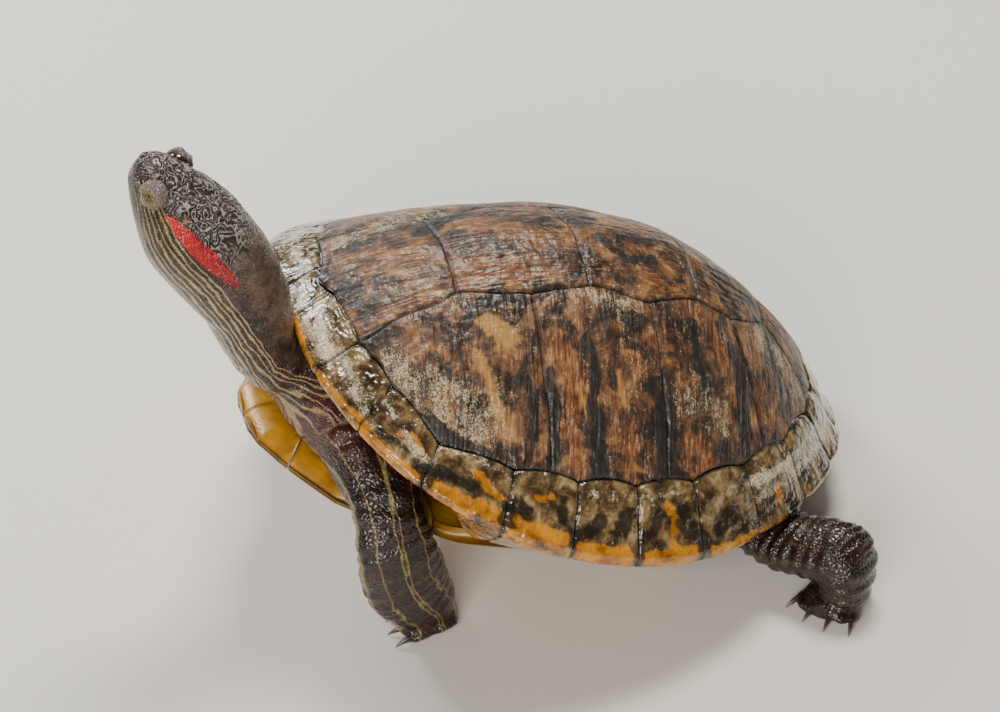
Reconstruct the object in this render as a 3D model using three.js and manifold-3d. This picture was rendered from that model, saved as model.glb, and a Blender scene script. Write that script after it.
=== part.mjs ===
// Red-eared slider turtle, life size, neck stretched up and front of the shell raised.
// Millimetres, +Z up, head toward -Y, the animal's left side toward +X, soles on Z = 0.

import * as THREE from 'three';
import Module from 'manifold-3d';

const wasm = await Module();
wasm.setup();

// ---------------------------------------------------------------- driving sizes

const CARAPACE_LENGTH = 200;      // straight length of the upper shell
const SHELL_PITCH_DEG = 18.7;     // front of the shell raised on straight forelegs
const FLOOR_DROP = 54.2;          // from the datum under the front rim down to the floor
const SCUTE_THICKNESS = 3.6;      // horn plate and the bone fused under it
const PLASTRON_THICKNESS = 4.4;
const PIECE_GAP = 0.3;            // seam between neighbouring pieces
const ARCH_ROUND = 1.9;           // exponents of the shell's cross-section
const ARCH_FLARE = 1.2;
const CLAW_LENGTH = 5.5;
const EYEBALL_RADIUS = 3.7;
const PATCH_ROWS = 4;             // facets of a carapace plate, front to rear
const PATCH_COLS = 5;             // and across it
const KEEL_COLS = 8;
const SPINE_SIDES = 12;           // facets round a limb
const LIMB_RINGS = 8;

// ---------------------------------------------------------------- shell stations
// x, y, z as fractions of the carapace length: x out from the midline,
// y back from the front rim, z up from the flat of the plastron.

// outer edge at the ends of the marginal plates, front midline to rear midline
const RIM_STATIONS = [
  [0.000, 0.030, 0.236],
  [0.034, 0.029, 0.237],
  [0.145, 0.040, 0.224],
  [0.238, 0.092, 0.194],
  [0.322, 0.178, 0.162],
  [0.374, 0.303, 0.130],
  [0.398, 0.415, 0.112],
  [0.403, 0.525, 0.106],
  [0.384, 0.640, 0.108],
  [0.336, 0.755, 0.118],
  [0.264, 0.855, 0.130],
  [0.180, 0.930, 0.138],
  [0.094, 0.972, 0.140],
  [0.000, 0.978, 0.140],
];

// height of the keel line along the back: y, z
const KEEL_STATIONS = [
  [0.000, 0.226],
  [0.050, 0.268],
  [0.120, 0.311],
  [0.220, 0.356],
  [0.340, 0.391],
  [0.460, 0.407],
  [0.600, 0.394],
  [0.720, 0.349],
  [0.820, 0.286],
  [0.900, 0.220],
  [0.980, 0.140],
];

// width of each marginal's upper face, nuchal first
const MARGINAL_WIDTHS = [
  0.036, 0.050, 0.066, 0.064, 0.054, 0.064, 0.072, 0.076, 0.076, 0.074, 0.072, 0.070, 0.068, 0.068,
];

// corners of the midline plates: half width, y
const VERTEBRAL_CORNERS = [
  { seam: [0.092, 0.245], point: [0.110, 0.358] },
  { seam: [0.098, 0.447], point: [0.112, 0.553] },
  { seam: [0.086, 0.646], point: [0.092, 0.710] },
  { seam: [0.047, 0.796], point: null },
];

// where the side plates' seams meet the marginal ring, counted in marginals
const PLEURAL_FEET = [2.0, 5.55, 7.55, 9.50, 11.45];

// outer edge of the plastron at its plate seams
const PLASTRON_EDGE = [
  [0.000, 0.022, 0.012],
  [0.062, 0.029, 0.014],
  [0.118, 0.064, 0.012],
  [0.190, 0.124, 0.008],
  [0.232, 0.208, 0.004],
  [0.240, 0.268, 0.003],
  [0.282, 0.318, 0.030],
  [0.306, 0.420, 0.034],
  [0.314, 0.525, 0.034],
  [0.292, 0.618, 0.030],
  [0.238, 0.668, 0.004],
  [0.224, 0.730, 0.006],
  [0.200, 0.800, 0.012],
  [0.150, 0.875, 0.020],
  [0.080, 0.925, 0.026],
  [0.000, 0.918, 0.026],
];

const PLASTRON_PLATES = [
  { name: 'gular', midline: [0.022, 0.130], edge: [0, 2] },
  { name: 'humeral', midline: [0.130, 0.215], edge: [2, 5] },
  { name: 'pectoral', midline: [0.215, 0.360], edge: [5, 7] },
  { name: 'abdominal', midline: [0.360, 0.600], edge: [7, 10] },
  { name: 'femoral', midline: [0.600, 0.720], edge: [10, 12] },
  { name: 'anal', midline: [0.720, 0.918], edge: [12, 15] },
];

// ---------------------------------------------------------------- materials

const material = (color, roughness) =>
  new THREE.MeshStandardMaterial({ color, roughness, metalness: 0 });

const CARAPACE_HORN = '#5b4331';
const MARGINAL_HORN = '#8b7f66';
const PLASTRON_HORN = '#d8a23c';
const SKIN_DARK = '#3a332d';
const EYE_COLOUR = '#6f7a3a';

// ---------------------------------------------------------------- small tools

/** Smooth curve through [position, value] stations that never overshoots them. */
function stationCurve(stations) {
  const xs = stations.map((s) => s[0]);
  const ys = stations.map((s) => s[1]);
  const slopes = xs.map((x, i) => {
    if (i === 0 || i === xs.length - 1) {
      const a = i === 0 ? 0 : i - 1;
      return (ys[a + 1] - ys[a]) / (xs[a + 1] - xs[a]);
    }
    const before = (ys[i] - ys[i - 1]) / (x - xs[i - 1]);
    const after = (ys[i + 1] - ys[i]) / (xs[i + 1] - x);
    return before * after <= 0 ? 0 : (2 * before * after) / (before + after);
  });
  return (x) => {
    const last = xs.length - 2;
    let i = 0;
    while (i < last && x > xs[i + 1]) i += 1;
    const h = xs[i + 1] - xs[i];
    const t = THREE.MathUtils.clamp((x - xs[i]) / h, 0, 1);
    const t2 = t * t;
    const t3 = t2 * t;
    return (2 * t3 - 3 * t2 + 1) * ys[i] + (t3 - 2 * t2 + t) * h * slopes[i]
      + (3 * t2 - 2 * t3) * ys[i + 1] + (t3 - t2) * h * slopes[i + 1];
  };
}

function signedVolume(points, faces) {
  const cross = new THREE.Vector3();
  return faces.reduce((sum, [a, b, c]) =>
    sum + points[a].dot(cross.crossVectors(points[b], points[c])) / 6, 0);
}

/** Geometry from shared points and triangles, turned so that it faces outward. */
function solidGeometry(points, faces) {
  const flip = signedVolume(points, faces) < 0;
  const geometry = new THREE.BufferGeometry();
  geometry.setFromPoints(points);
  geometry.setIndex(faces.flatMap(([a, b, c]) => (flip ? [a, c, b] : [a, b, c])));
  return geometry;
}

/** Closed solid through a run of equal rings; each end is closed flat. */
function loftRings(rings, outline2d) {
  const sides = rings[0].length;
  const points = rings.flat();
  const faces = [];
  for (let r = 0; r < rings.length - 1; r += 1) {
    for (let i = 0; i < sides; i += 1) {
      const a = r * sides + i;
      const b = r * sides + ((i + 1) % sides);
      faces.push([a, b, b + sides], [a, b + sides, a + sides]);
    }
  }
  const lastRing = (rings.length - 1) * sides;
  const capFaces = (outline) => THREE.ShapeUtils.triangulateShape(outline, []);
  const startOutline = outline2d ? outline2d[0] : null;
  const endOutline = outline2d ? outline2d[outline2d.length - 1] : null;
  const fan = Array.from({ length: sides - 2 }, (_, i) => [0, i + 1, i + 2]);
  const startCap = startOutline ? capFaces(startOutline) : fan;
  const endCap = endOutline ? capFaces(endOutline) : fan;
  startCap.forEach(([a, b, c]) => faces.push([a, c, b]));
  endCap.forEach(([a, b, c]) => faces.push([lastRing + a, lastRing + b, lastRing + c]));
  return solidGeometry(points, faces);
}

/** Closed plate between two equal grids of points. */
function plateSolid(outer, inner) {
  const rows = outer.length;
  const cols = outer[0].length;
  const points = [...outer.flat(), ...inner.flat()];
  const faces = [];
  const under = rows * cols;
  const quad = (a, b, c, d) => faces.push([a, b, c], [a, c, d]);
  for (let r = 0; r < rows - 1; r += 1) {
    for (let c = 0; c < cols - 1; c += 1) {
      const a = r * cols + c;
      quad(a, a + 1, a + cols + 1, a + cols);
      quad(under + a, under + a + cols, under + a + cols + 1, under + a + 1);
    }
  }
  const wall = (a, b) => quad(a, under + a, under + b, b);
  for (let c = 0; c < cols - 1; c += 1) {
    wall(c, c + 1);
    wall((rows - 1) * cols + c + 1, (rows - 1) * cols + c);
  }
  for (let r = 0; r < rows - 1; r += 1) {
    wall((r + 1) * cols, r * cols);
    wall(r * cols + cols - 1, (r + 1) * cols + cols - 1);
  }
  return solidGeometry(points, faces);
}

function toManifold(geometry) {
  const vertProperties = Float32Array.from(geometry.getAttribute('position').array);
  const triVerts = Uint32Array.from(geometry.getIndex().array);
  const mesh = new wasm.Mesh({ numProp: 3, vertProperties, triVerts });
  mesh.merge();
  return new wasm.Manifold(mesh);
}

function fromManifold(solid) {
  const mesh = solid.getMesh();
  const geometry = new THREE.BufferGeometry();
  const array = new Float32Array(mesh.numVert * 3);
  for (let v = 0; v < mesh.numVert; v += 1) {
    for (let k = 0; k < 3; k += 1) array[v * 3 + k] = mesh.vertProperties[v * mesh.numProp + k];
  }
  geometry.setAttribute('position', new THREE.BufferAttribute(array, 3));
  geometry.setIndex(Array.from(mesh.triVerts));
  return geometry;
}

/** Floor below the standing plane, to trim what would sink into it. */
function floorCutter() {
  const slab = new THREE.BoxGeometry(600, 600, 60);
  slab.translate(0, 100, -30);
  slab.deleteAttribute('uv');
  slab.deleteAttribute('normal');
  return toManifold(slab);
}

const floor = floorCutter();

// ---------------------------------------------------------------- shell surfaces

const pitch = THREE.MathUtils.degToRad(SHELL_PITCH_DEG);

/** From shell fractions to millimetres in the standing frame. */
function placeShell(x, y, z) {
  const point = new THREE.Vector3(x, y, z).multiplyScalar(CARAPACE_LENGTH);
  point.applyAxisAngle(new THREE.Vector3(1, 0, 0), -pitch);
  point.z += FLOOR_DROP;
  return point;
}

const halfWidthAt = stationCurve(RIM_STATIONS.slice(1).map(([x, y]) => [y, x]));
const rimHeightAt = stationCurve(RIM_STATIONS.slice(1).map(([, y, z]) => [y, z]));
const keelHeightAt = stationCurve(KEEL_STATIONS);

/** Height of the carapace over a point of its plan. */
function domeHeight(x, y) {
  const across = Math.min(Math.abs(x) / halfWidthAt(y), 1);
  const arch = (1 - across ** ARCH_ROUND) ** ARCH_FLARE;
  return rimHeightAt(y) + (keelHeightAt(y) - rimHeightAt(y)) * arch;
}

const rimCurve = new THREE.CatmullRomCurve3([
  ...RIM_STATIONS.map(([x, y, z]) => new THREE.Vector3(x, y, z)),
  ...RIM_STATIONS.slice(1, -1).reverse().map(([x, y, z]) => new THREE.Vector3(-x, y, z)),
], true, 'centripetal');
const RIM_SPANS = 2 * (RIM_STATIONS.length - 1);
const marginalWidthAt = stationCurve(MARGINAL_WIDTHS.map((w, i) => [i, w]));

/** Rim edge at u, counted in marginal plates from the front midline (left side positive). */
function rimPoint(u) {
  return rimCurve.getPoint(((u / RIM_SPANS) % 1 + 1) % 1);
}

/** Unit vector pointing inward across the rim, in plan. */
function rimInward(u) {
  const along = rimPoint(u + 0.05).sub(rimPoint(u - 0.05));
  return new THREE.Vector3(-along.y, along.x, 0).normalize();
}

/** Plan point on the seam between marginals and the inner plates. */
function ringSeam(u, extra = 0) {
  const point = rimPoint(u).addScaledVector(rimInward(u), marginalWidthAt(Math.abs(u)) + extra);
  return new THREE.Vector2(point.x, point.y);
}

// height of the plastron along its midline: both lobes turn up a little
const lobeHeightAt = stationCurve([
  [0.02, 0.014],
  [0.20, 0.003],
  [0.30, 0],
  [0.66, 0],
  [0.80, 0.010],
  [0.93, 0.026],
]);
const BRIDGE_SPAN = [0.255, 0.320, 0.610, 0.675];   // where the bridges start, hold and end
const BRIDGE_RISE = 0.038;
const BRIDGE_INSET = 0.215;

/** Height of the plastron's outer face: flat, lobes turned up a little, bridges rising. */
function plastronHeight(x, y) {
  const [start, full, wane, end] = BRIDGE_SPAN;
  const bridge = THREE.MathUtils.smoothstep(y, start, full)
    * (1 - THREE.MathUtils.smoothstep(y, wane, end));
  const rise = Math.max(0, (Math.abs(x) - BRIDGE_INSET) / 0.10);
  return lobeHeightAt(y) + BRIDGE_RISE * bridge * rise * rise;
}

const halfGap = PIECE_GAP / 2 / CARAPACE_LENGTH;

/** Point a given share along a path of plan points; every leg of it takes an equal share. */
function alongPath(path, t) {
  const k = THREE.MathUtils.clamp(t, 0, 1) * (path.length - 1);
  const i = Math.min(Math.floor(k), path.length - 2);
  return path[i].clone().lerp(path[i + 1], k - i);
}

/** Plan grid inside four boundary paths, drawn in by half the seam gap. */
function planGrid(left, right, front, rear, rows, cols) {
  const corner = [left[0], right[0], left[left.length - 1], right[right.length - 1]];
  const blend = (s, t) => {
    const point = alongPath(left, t).multiplyScalar(1 - s).addScaledVector(alongPath(right, t), s);
    point.addScaledVector(alongPath(front, s), 1 - t).addScaledVector(alongPath(rear, s), t);
    point.addScaledVector(corner[0], -(1 - s) * (1 - t)).addScaledVector(corner[1], -s * (1 - t));
    return point.addScaledVector(corner[2], -(1 - s) * t).addScaledVector(corner[3], -s * t);
  };
  const grid = [];
  for (let r = 0; r <= rows; r += 1) {
    const t = r / rows;
    const span = Math.max(blend(0, t).distanceTo(blend(1, t)), 0.004);
    const inS = halfGap / span;
    grid.push([]);
    for (let c = 0; c <= cols; c += 1) {
      const s = THREE.MathUtils.lerp(inS, 1 - inS, c / cols);
      const reach = Math.max(blend(s, 0).distanceTo(blend(s, 1)), 0.004);
      const inT = halfGap / reach;
      grid[r].push(blend(s, THREE.MathUtils.lerp(inT, 1 - inT, t)));
    }
  }
  return grid;
}

/** Plate of the carapace over a plan grid: outer face on the dome, inner face below it. */
function carapacePlate(grid) {
  const step = 0.002;
  const outer = grid.map((row) => row.map((p) => placeShell(p.x, p.y, domeHeight(p.x, p.y))));
  const inner = grid.map((row) => row.map((p) => {
    const slopeX = (domeHeight(p.x + step, p.y) - domeHeight(p.x - step, p.y)) / (2 * step);
    const slopeY = (domeHeight(p.x, p.y + step) - domeHeight(p.x, p.y - step)) / (2 * step);
    const steep = Math.hypot(slopeX, slopeY, 1);
    const drop = (SCUTE_THICKNESS / CARAPACE_LENGTH) * Math.min(steep, 1.6);
    return placeShell(p.x, p.y, domeHeight(p.x, p.y) - drop);
  }));
  return plateSolid(outer, inner);
}

/** Plate of the plastron over a plan grid. */
function plastronPlate(grid) {
  const thick = PLASTRON_THICKNESS / CARAPACE_LENGTH;
  const outer = grid.map((row) => row.map((p) => placeShell(p.x, p.y, plastronHeight(p.x, p.y))));
  const inner = grid.map((row) => row.map((p) =>
    placeShell(p.x, p.y, plastronHeight(p.x, p.y) + thick)));
  return plateSolid(outer, inner);
}

// ---------------------------------------------------------------- marginal ring

const BRIDGE_START = 4.6;
const BRIDGE_END = 8.6;

/** Section across the rim at u: [distance inward, height] pairs round the plate. */
function marginalSection(u) {
  const a = Math.abs(u);
  const width = marginalWidthAt(a) - halfGap;
  const edge = rimPoint(u);
  const seam = ringSeam(u);
  const top = domeHeight(seam.x, seam.y);
  const bridge = THREE.MathUtils.smoothstep(a, BRIDGE_START - 0.5, BRIDGE_START + 0.3)
    * (1 - THREE.MathUtils.smoothstep(a, BRIDGE_END - 0.3, BRIDGE_END + 0.5));
  const mix = THREE.MathUtils.lerp;
  const thick = SCUTE_THICKNESS / CARAPACE_LENGTH;
  const lip = mix(0.013, 0.020, bridge);
  const bulge = mix(-0.004, 0.004, bridge);
  const footIn = mix(0.046, 0.072, bridge);
  const footZ = mix(edge.z - 0.004, 0.044, bridge);
  return [
    [width, top],
    [width * 0.5, mix(top, edge.z, 0.5) + bulge],
    [0.004, edge.z + 0.004],
    [0, edge.z - lip * 0.4],
    [0.005, edge.z - lip],
    [footIn, footZ],
    [footIn + 0.010, footZ + thick],
    [mix(0.040, 0.026, bridge), mix(edge.z + 0.012, edge.z - 0.002, bridge)],
    [width, top - thick * 1.5],
  ];
}

/** One marginal plate between two counts along the rim. */
function marginalPlate(from, to) {
  const length = rimPoint(from).distanceTo(rimPoint(to));
  const trim = (halfGap / length) * (to - from);
  const columns = from < 0 && to > 0 ? 4 : 3;
  const rings = [];
  const outlines = [];
  for (let c = 0; c <= columns; c += 1) {
    const u = THREE.MathUtils.lerp(from + trim, to - trim, c / columns);
    const edge = rimPoint(u);
    const inward = rimInward(u);
    const section = marginalSection(u);
    outlines.push(section.map(([d, z]) => new THREE.Vector2(d, z)));
    rings.push(section.map(([d, z]) => placeShell(edge.x + inward.x * d, edge.y + inward.y * d, z)));
  }
  return loftRings(rings, outlines);
}

// ---------------------------------------------------------------- assembly lists

const pieces = [];
const addPiece = (name, geometry, colour, roughness) =>
  pieces.push({ name, geometry, colour, roughness });

const mirrorPath = (path) => path.map((p) => new THREE.Vector2(-p.x, p.y));
const v2 = (x, y) => new THREE.Vector2(x, y);
const seamPath = (from, to, steps = 8) =>
  Array.from({ length: steps + 1 }, (_, i) => ringSeam(from + ((to - from) * i) / steps));

// keel plates, front to rear
const corners = VERTEBRAL_CORNERS.map((c) => ({
  seam: v2(...c.seam),
  point: c.point ? v2(...c.point) : null,
}));
const frontCorner = ringSeam(2.0);
const rearCorner = ringSeam(PLEURAL_FEET[4]);
const keelSides = [
  [frontCorner, corners[0].seam],
  [corners[0].seam, corners[0].point, corners[1].seam],
  [corners[1].seam, corners[1].point, corners[2].seam],
  [corners[2].seam, corners[2].point, corners[3].seam],
  [corners[3].seam, rearCorner],
];
keelSides.forEach((side, i) => {
  const left = side;
  const right = mirrorPath(side);
  const front = i === 0 ? seamPath(2.0, -2.0) : [left[0], right[0]];
  const rear = i === keelSides.length - 1
    ? seamPath(PLEURAL_FEET[4], RIM_SPANS - PLEURAL_FEET[4])
    : [left[left.length - 1], right[right.length - 1]];
  const grid = planGrid(left, right, front, rear, PATCH_ROWS, KEEL_COLS);
  addPiece(`vertebral_${i + 1}`, carapacePlate(grid), CARAPACE_HORN, 0.45);
});

// side plates: from the keel plates down to the marginal ring
const sideTops = [
  [frontCorner, corners[0].seam, corners[0].point],
  [corners[0].point, corners[1].seam, corners[1].point],
  [corners[1].point, corners[2].seam, corners[2].point],
  [corners[2].point, corners[3].seam, rearCorner],
];
sideTops.forEach((topPath, i) => {
  const from = PLEURAL_FEET[i];
  const to = PLEURAL_FEET[i + 1];
  const foot = seamPath(from, to);
  const first = [topPath[0], foot[0]];
  const last = [topPath[topPath.length - 1], foot[foot.length - 1]];
  const leftGrid = planGrid(topPath, foot, first, last, PATCH_ROWS, PATCH_COLS);
  const rightGrid = leftGrid.map((row) => mirrorPath(row));
  addPiece(`pleural_${i + 1}_left`, carapacePlate(leftGrid), CARAPACE_HORN, 0.45);
  addPiece(`pleural_${i + 1}_right`, carapacePlate(rightGrid), CARAPACE_HORN, 0.45);
});

// marginal ring
addPiece('nuchal', marginalPlate(-1, 1), MARGINAL_HORN, 0.4);
for (let m = 1; m <= 12; m += 1) {
  addPiece(`marginal_${m}_left`, marginalPlate(m, m + 1), MARGINAL_HORN, 0.4);
  addPiece(`marginal_${m}_right`, marginalPlate(-m - 1, -m), MARGINAL_HORN, 0.4);
}

// plastron
const plastronCurve = PLASTRON_EDGE.map(([x, y]) => v2(x, y));
PLASTRON_PLATES.forEach(({ name, midline, edge }) => {
  const [startY, endY] = midline;
  const inner = [v2(0, startY), v2(0, endY)];
  const outer = plastronCurve.slice(edge[0], edge[1] + 1);
  if (edge[0] === 0) outer[0] = v2(0.030, startY);
  if (edge[1] === PLASTRON_EDGE.length - 1) outer[outer.length - 1] = v2(0.020, endY);
  const front = [inner[0], outer[0]];
  const rear = [inner[1], outer[outer.length - 1]];
  const grid = planGrid(inner, outer, front, rear, 4, 3);
  const mirrored = grid.map((row) => mirrorPath(row));
  const standing = (geometry) => fromManifold(toManifold(geometry).subtract(floor));
  addPiece(`${name}_left`, standing(plastronPlate(grid)), PLASTRON_HORN, 0.4);
  addPiece(`${name}_right`, standing(plastronPlate(mirrored)), PLASTRON_HORN, 0.4);
});

// ---------------------------------------------------------------- flesh stations
// Millimetres in the standing frame, before the last move to the centre of the floor.
// at: centre; side: direction of the half width; w, t, b: half width, height above, depth below

const HEAD_TIP = new THREE.Vector3(-8.0, -17.8, 155.6);
const HEAD_AXIS = new THREE.Vector3(-0.414, -0.432, 0.799).normalize();
const HEAD_LEFT = new THREE.Vector3(0.86, -0.505, 0.075);
const HEAD_LENGTH = 34;

// distance behind the snout, half width, height above and depth below the axis
const HEAD_STATIONS = [
  [0.0, 2.2, 1.4, 2.4],
  [0.9, 4.2, 3.0, 4.6],
  [3.2, 7.0, 5.0, 7.4],
  [6.5, 9.4, 6.8, 9.4],
  [10.5, 11.6, 8.6, 11.0],
  [15.5, 13.9, 10.6, 12.8],
  [21.0, 16.2, 12.2, 14.6],
  [27.0, 17.3, 13.9, 15.8],
  [34.0, 16.0, 15.2, 15.4],
];
const EYE_BACK = 9.8;
const EYE_OUT = 9.2;
const EYE_UP = 2.4;

const NECK_START = 27;            // the neck runs up inside this point and is cut at the head
const NECK_STATIONS = [
  { at: null, side: null, w: 16.0, t: 15.2, b: 15.4 },
  { at: [6.0, 0.4, 121.0], side: [0.90, -0.42, 0.06], w: 15.6, t: 16.0, b: 14.8 },
  { at: [6.0, 5.0, 109.0], side: [0.94, -0.30, 0.05], w: 14.6, t: 15.0, b: 12.2 },
  { at: [5.4, 8.4, 97.0], side: [0.98, -0.18, 0.03], w: 15.0, t: 12.0, b: 11.0 },
  { at: [4.0, 14.0, 85.0], side: [1, -0.06, 0], w: 17.0, t: 9.6, b: 10.6 },
  { at: [0.0, 25.0, 75.5], side: [1, 0, 0], w: 19.5, t: 10.6, b: 11.6 },
  { at: [0.0, 38.0, 68.0], side: [1, 0, 0], w: 19.0, t: 11.6, b: 12.0 },
];

const FORELEG_STATIONS = [
  { at: [22, 39, 61], side: [-0.1, 1, 0], w: 13.0, t: 9.6, b: 8.6 },
  { at: [38, 37.5, 60], side: [-0.1, 1, 0], w: 14.0, t: 8.8, b: 8.4 },
  { at: [50.5, 37.0, 53], side: [-0.1, 1, 0], w: 10.8, t: 7.4, b: 6.8 },
  { at: [56, 37.8, 41], side: [-0.15, 1, 0], w: 12.4, t: 7.0, b: 6.6 },
  { at: [54.0, 40.4, 28], side: [-0.2, 1, 0], w: 13.4, t: 6.8, b: 6.6 },
  { at: [50.5, 45.2, 16], side: [-0.3, 1, 0], w: 12.0, t: 6.2, b: 6.2 },
  { at: [48.0, 49.5, 8], side: [-0.3, 1, 0], w: 9.6, t: 6.2, b: 6.0 },
  { at: [47.5, 50, 1.2], side: [-0.3, 1, 0], w: 8.2, t: 6.2, b: 5.0 },
];
const FORE_PAW = { heel: [48.5, 55.5, 3.4], toe: [45, 43, 2.4], w: 8.8, claws: 5, spread: 0.9 };

const HINDLEG_STATIONS = [
  { at: [29, 141, 28.0], side: [-0.2, 1, 0], w: 11.0, t: 7.4, b: 7.4 },
  { at: [45, 151, 20.0], side: [-0.2, 1, 0], w: 11.6, t: 7.0, b: 7.0 },
  { at: [58, 160.5, 13.6], side: [-0.3, 1, 0], w: 11.8, t: 6.8, b: 7.6 },
  { at: [68, 169, 15.5], side: [-0.4, 1, 0], w: 12.0, t: 8.6, b: 9.0 },
  { at: [74, 174, 17.5], side: [-0.7, 1, 0], w: 11.2, t: 9.2, b: 9.4 },
  { at: [77, 175, 9.5], side: [-0.9, 0.8, 0], w: 10.4, t: 8.4, b: 8.0 },
  { at: [77, 173, 1.4], side: [-0.9, 0.8, 0], w: 9.6, t: 8.0, b: 7.6 },
];
const HIND_PAW = { heel: [72, 177, 3.8], toe: [81, 165.5, 2.4], w: 9.6, claws: 4, spread: 0.75 };

// the off hind leg is drawn further in under the rim
const OFF_HINDLEG_STATIONS = [
  { at: [-29, 141, 28.0], side: [0.2, 1, 0], w: 11.0, t: 7.4, b: 7.4 },
  { at: [-44, 150.5, 21.4], side: [0.2, 1, 0], w: 12.0, t: 7.2, b: 7.2 },
  { at: [-54, 158, 15.0], side: [0.2, 1, 0], w: 12.0, t: 7.2, b: 8.0 },
  { at: [-59, 165, 12.8], side: [0.3, 1, 0], w: 11.4, t: 7.6, b: 8.4 },
  { at: [-61.5, 169, 9.5], side: [0.5, 1, 0], w: 10.6, t: 7.6, b: 8.4 },
  { at: [-63, 168, 1.4], side: [0.6, 0.9, 0], w: 9.6, t: 7.6, b: 7.6 },
];
const OFF_HIND_PAW = { heel: [-60, 173, 3.8], toe: [-64, 159, 2.4], w: 9.6, claws: 4, spread: 0.75 };

const TAIL_STATIONS = [
  { at: [0, 168, 12.0], side: [1, 0, 0], w: 7.5, t: 5.2, b: 5.2 },
  { at: [-2.5, 180, 8.6], side: [1, 0.3, 0], w: 6.6, t: 5.0, b: 5.2 },
  { at: [-9.5, 188, 4.8], side: [0.6, 0.8, 0], w: 5.0, t: 4.2, b: 4.8 },
  { at: [-19, 191, 2.8], side: [0.1, 1, 0], w: 3.4, t: 3.0, b: 3.2 },
  { at: [-29, 190, 1.5], side: [-0.1, 1, 0], w: 1.4, t: 1.5, b: 1.7 },
];

// ---------------------------------------------------------------- flesh builders

/** Ring round a centre: rounded box-like oval with its own height above and depth below. */
function fleshRing(centre, side, up, w, t, b, sides, grow = 0) {
  return Array.from({ length: sides }, (_, i) => {
    const angle = (2 * Math.PI * i) / sides;
    const c = Math.cos(angle);
    const s = Math.sin(angle);
    const x = Math.sign(c) * Math.abs(c) ** 0.92 * (w + grow);
    const y = Math.sign(s) * Math.abs(s) ** 0.92 * ((s > 0 ? t : b) + grow);
    return centre.clone().addScaledVector(side, x).addScaledVector(up, y);
  });
}

/** Rings along a limb; the cross-section stays square to its path. */
function limbRings(stations, rings, sides, grow = 0) {
  const centres = stations.map((s) => new THREE.Vector3(...s.at));
  const path = new THREE.CatmullRomCurve3(centres, false, 'centripetal');
  const pick = (key) => stationCurve(stations.map((s, i) => [i, s[key]]));
  const [w, t, b] = ['w', 't', 'b'].map(pick);
  const last = stations.length - 1;
  return Array.from({ length: rings + 1 }, (_, r) => {
    const u = r / rings;
    const k = u * last;
    const i = Math.min(Math.floor(k), last - 1);
    const along = path.getTangent(u);
    const side = new THREE.Vector3(...stations[i].side)
      .lerp(new THREE.Vector3(...stations[i + 1].side), k - i);
    side.addScaledVector(along, -side.dot(along)).normalize();
    const up = new THREE.Vector3().crossVectors(side, along).normalize();
    const centre = path.getPoint(u);
    if (grow && r === 0) centre.addScaledVector(along, -grow);
    if (grow && r === rings) centre.addScaledVector(along, grow);
    return fleshRing(centre, side, up, w(k), t(k), b(k), sides, grow);
  });
}

const mirrorStations = (stations) => stations.map((s) => ({
  ...s,
  at: [-s.at[0], s.at[1], s.at[2]],
  side: [-s.side[0], s.side[1], s.side[2]],
}));

const mirrorPaw = (paw) => ({
  ...paw,
  heel: [-paw.heel[0], paw.heel[1], paw.heel[2]],
  toe: [-paw.toe[0], paw.toe[1], paw.toe[2]],
});

function placed(geometry, at) {
  return geometry.clone().translate(at.x, at.y, at.z);
}

const UP = new THREE.Vector3(0, 0, 1);
const PALM_DEPTH = 4.4;

// palm of a paw: share of the way from heel to toe, share of the paw's width, height
const PALM_STATIONS = [
  [-0.20, 0.50, 1.8],
  [0.15, 0.90, 4.0],
  [0.75, 1.04, 2.8],
  [1.00, 0.90, 1.6],
];

// toe and claw: distance ahead, half width, half height, height of the centre
const TOE_STATIONS = [
  [0, 2.4, 2.4, 2.4],
  [5.4, 2.2, 2.0, 2.2],
  [6.8, 1.3, 1.5, 1.9],
  [6.8 + CLAW_LENGTH, 0.3, 0.35, 0.6],
];

/** Flat webbed paw with toes and claws, joined to the leg's end. */
function pawSolids(paw) {
  const heel = new THREE.Vector3(...paw.heel);
  const toe = new THREE.Vector3(...paw.toe);
  const ahead = toe.clone().sub(heel);
  const length = ahead.length();
  ahead.normalize();
  const across = new THREE.Vector3().crossVectors(UP, ahead).normalize();
  const palm = PALM_STATIONS.map(([f, w, t]) => {
    const centre = heel.clone().addScaledVector(ahead, f * length);
    return fleshRing(centre, across, UP, paw.w * w, t, PALM_DEPTH, 10);
  });
  const solids = [toManifold(loftRings(palm))];
  for (let c = 0; c < paw.claws; c += 1) {
    const f = (c / (paw.claws - 1)) * 2 - 1;
    const turn = f * paw.spread * 0.5;
    const along = ahead.clone().applyAxisAngle(UP, -turn);
    const out = new THREE.Vector3().crossVectors(UP, along).normalize();
    const base = heel.clone().addScaledVector(ahead, length * (0.62 - 0.16 * f * f))
      .addScaledVector(across, -f * paw.w * 0.74);
    const rings = TOE_STATIONS.map(([d, w, t, z]) => {
      const centre = base.clone().addScaledVector(along, d);
      centre.z = z;
      return fleshRing(centre, out, UP, w, t, t, 6);
    });
    solids.push(toManifold(loftRings(rings)));
  }
  return solids;
}

// ---------------------------------------------------------------- head and eyes

const headLeft = HEAD_LEFT.clone().addScaledVector(HEAD_AXIS, -HEAD_LEFT.dot(HEAD_AXIS)).normalize();
const headUp = new THREE.Vector3().crossVectors(HEAD_AXIS, headLeft).normalize();
const headPoint = (back, out, up) => HEAD_TIP.clone().addScaledVector(HEAD_AXIS, -back)
  .addScaledVector(headLeft, out).addScaledVector(headUp, up);
const headRings = HEAD_STATIONS.map(([back, w, t, b]) =>
  fleshRing(headPoint(back, 0, 0), headLeft, headUp, w, t, b, 20));
const eyeBall = (grow) => new THREE.IcosahedronGeometry(EYEBALL_RADIUS + grow, 1);

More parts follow.
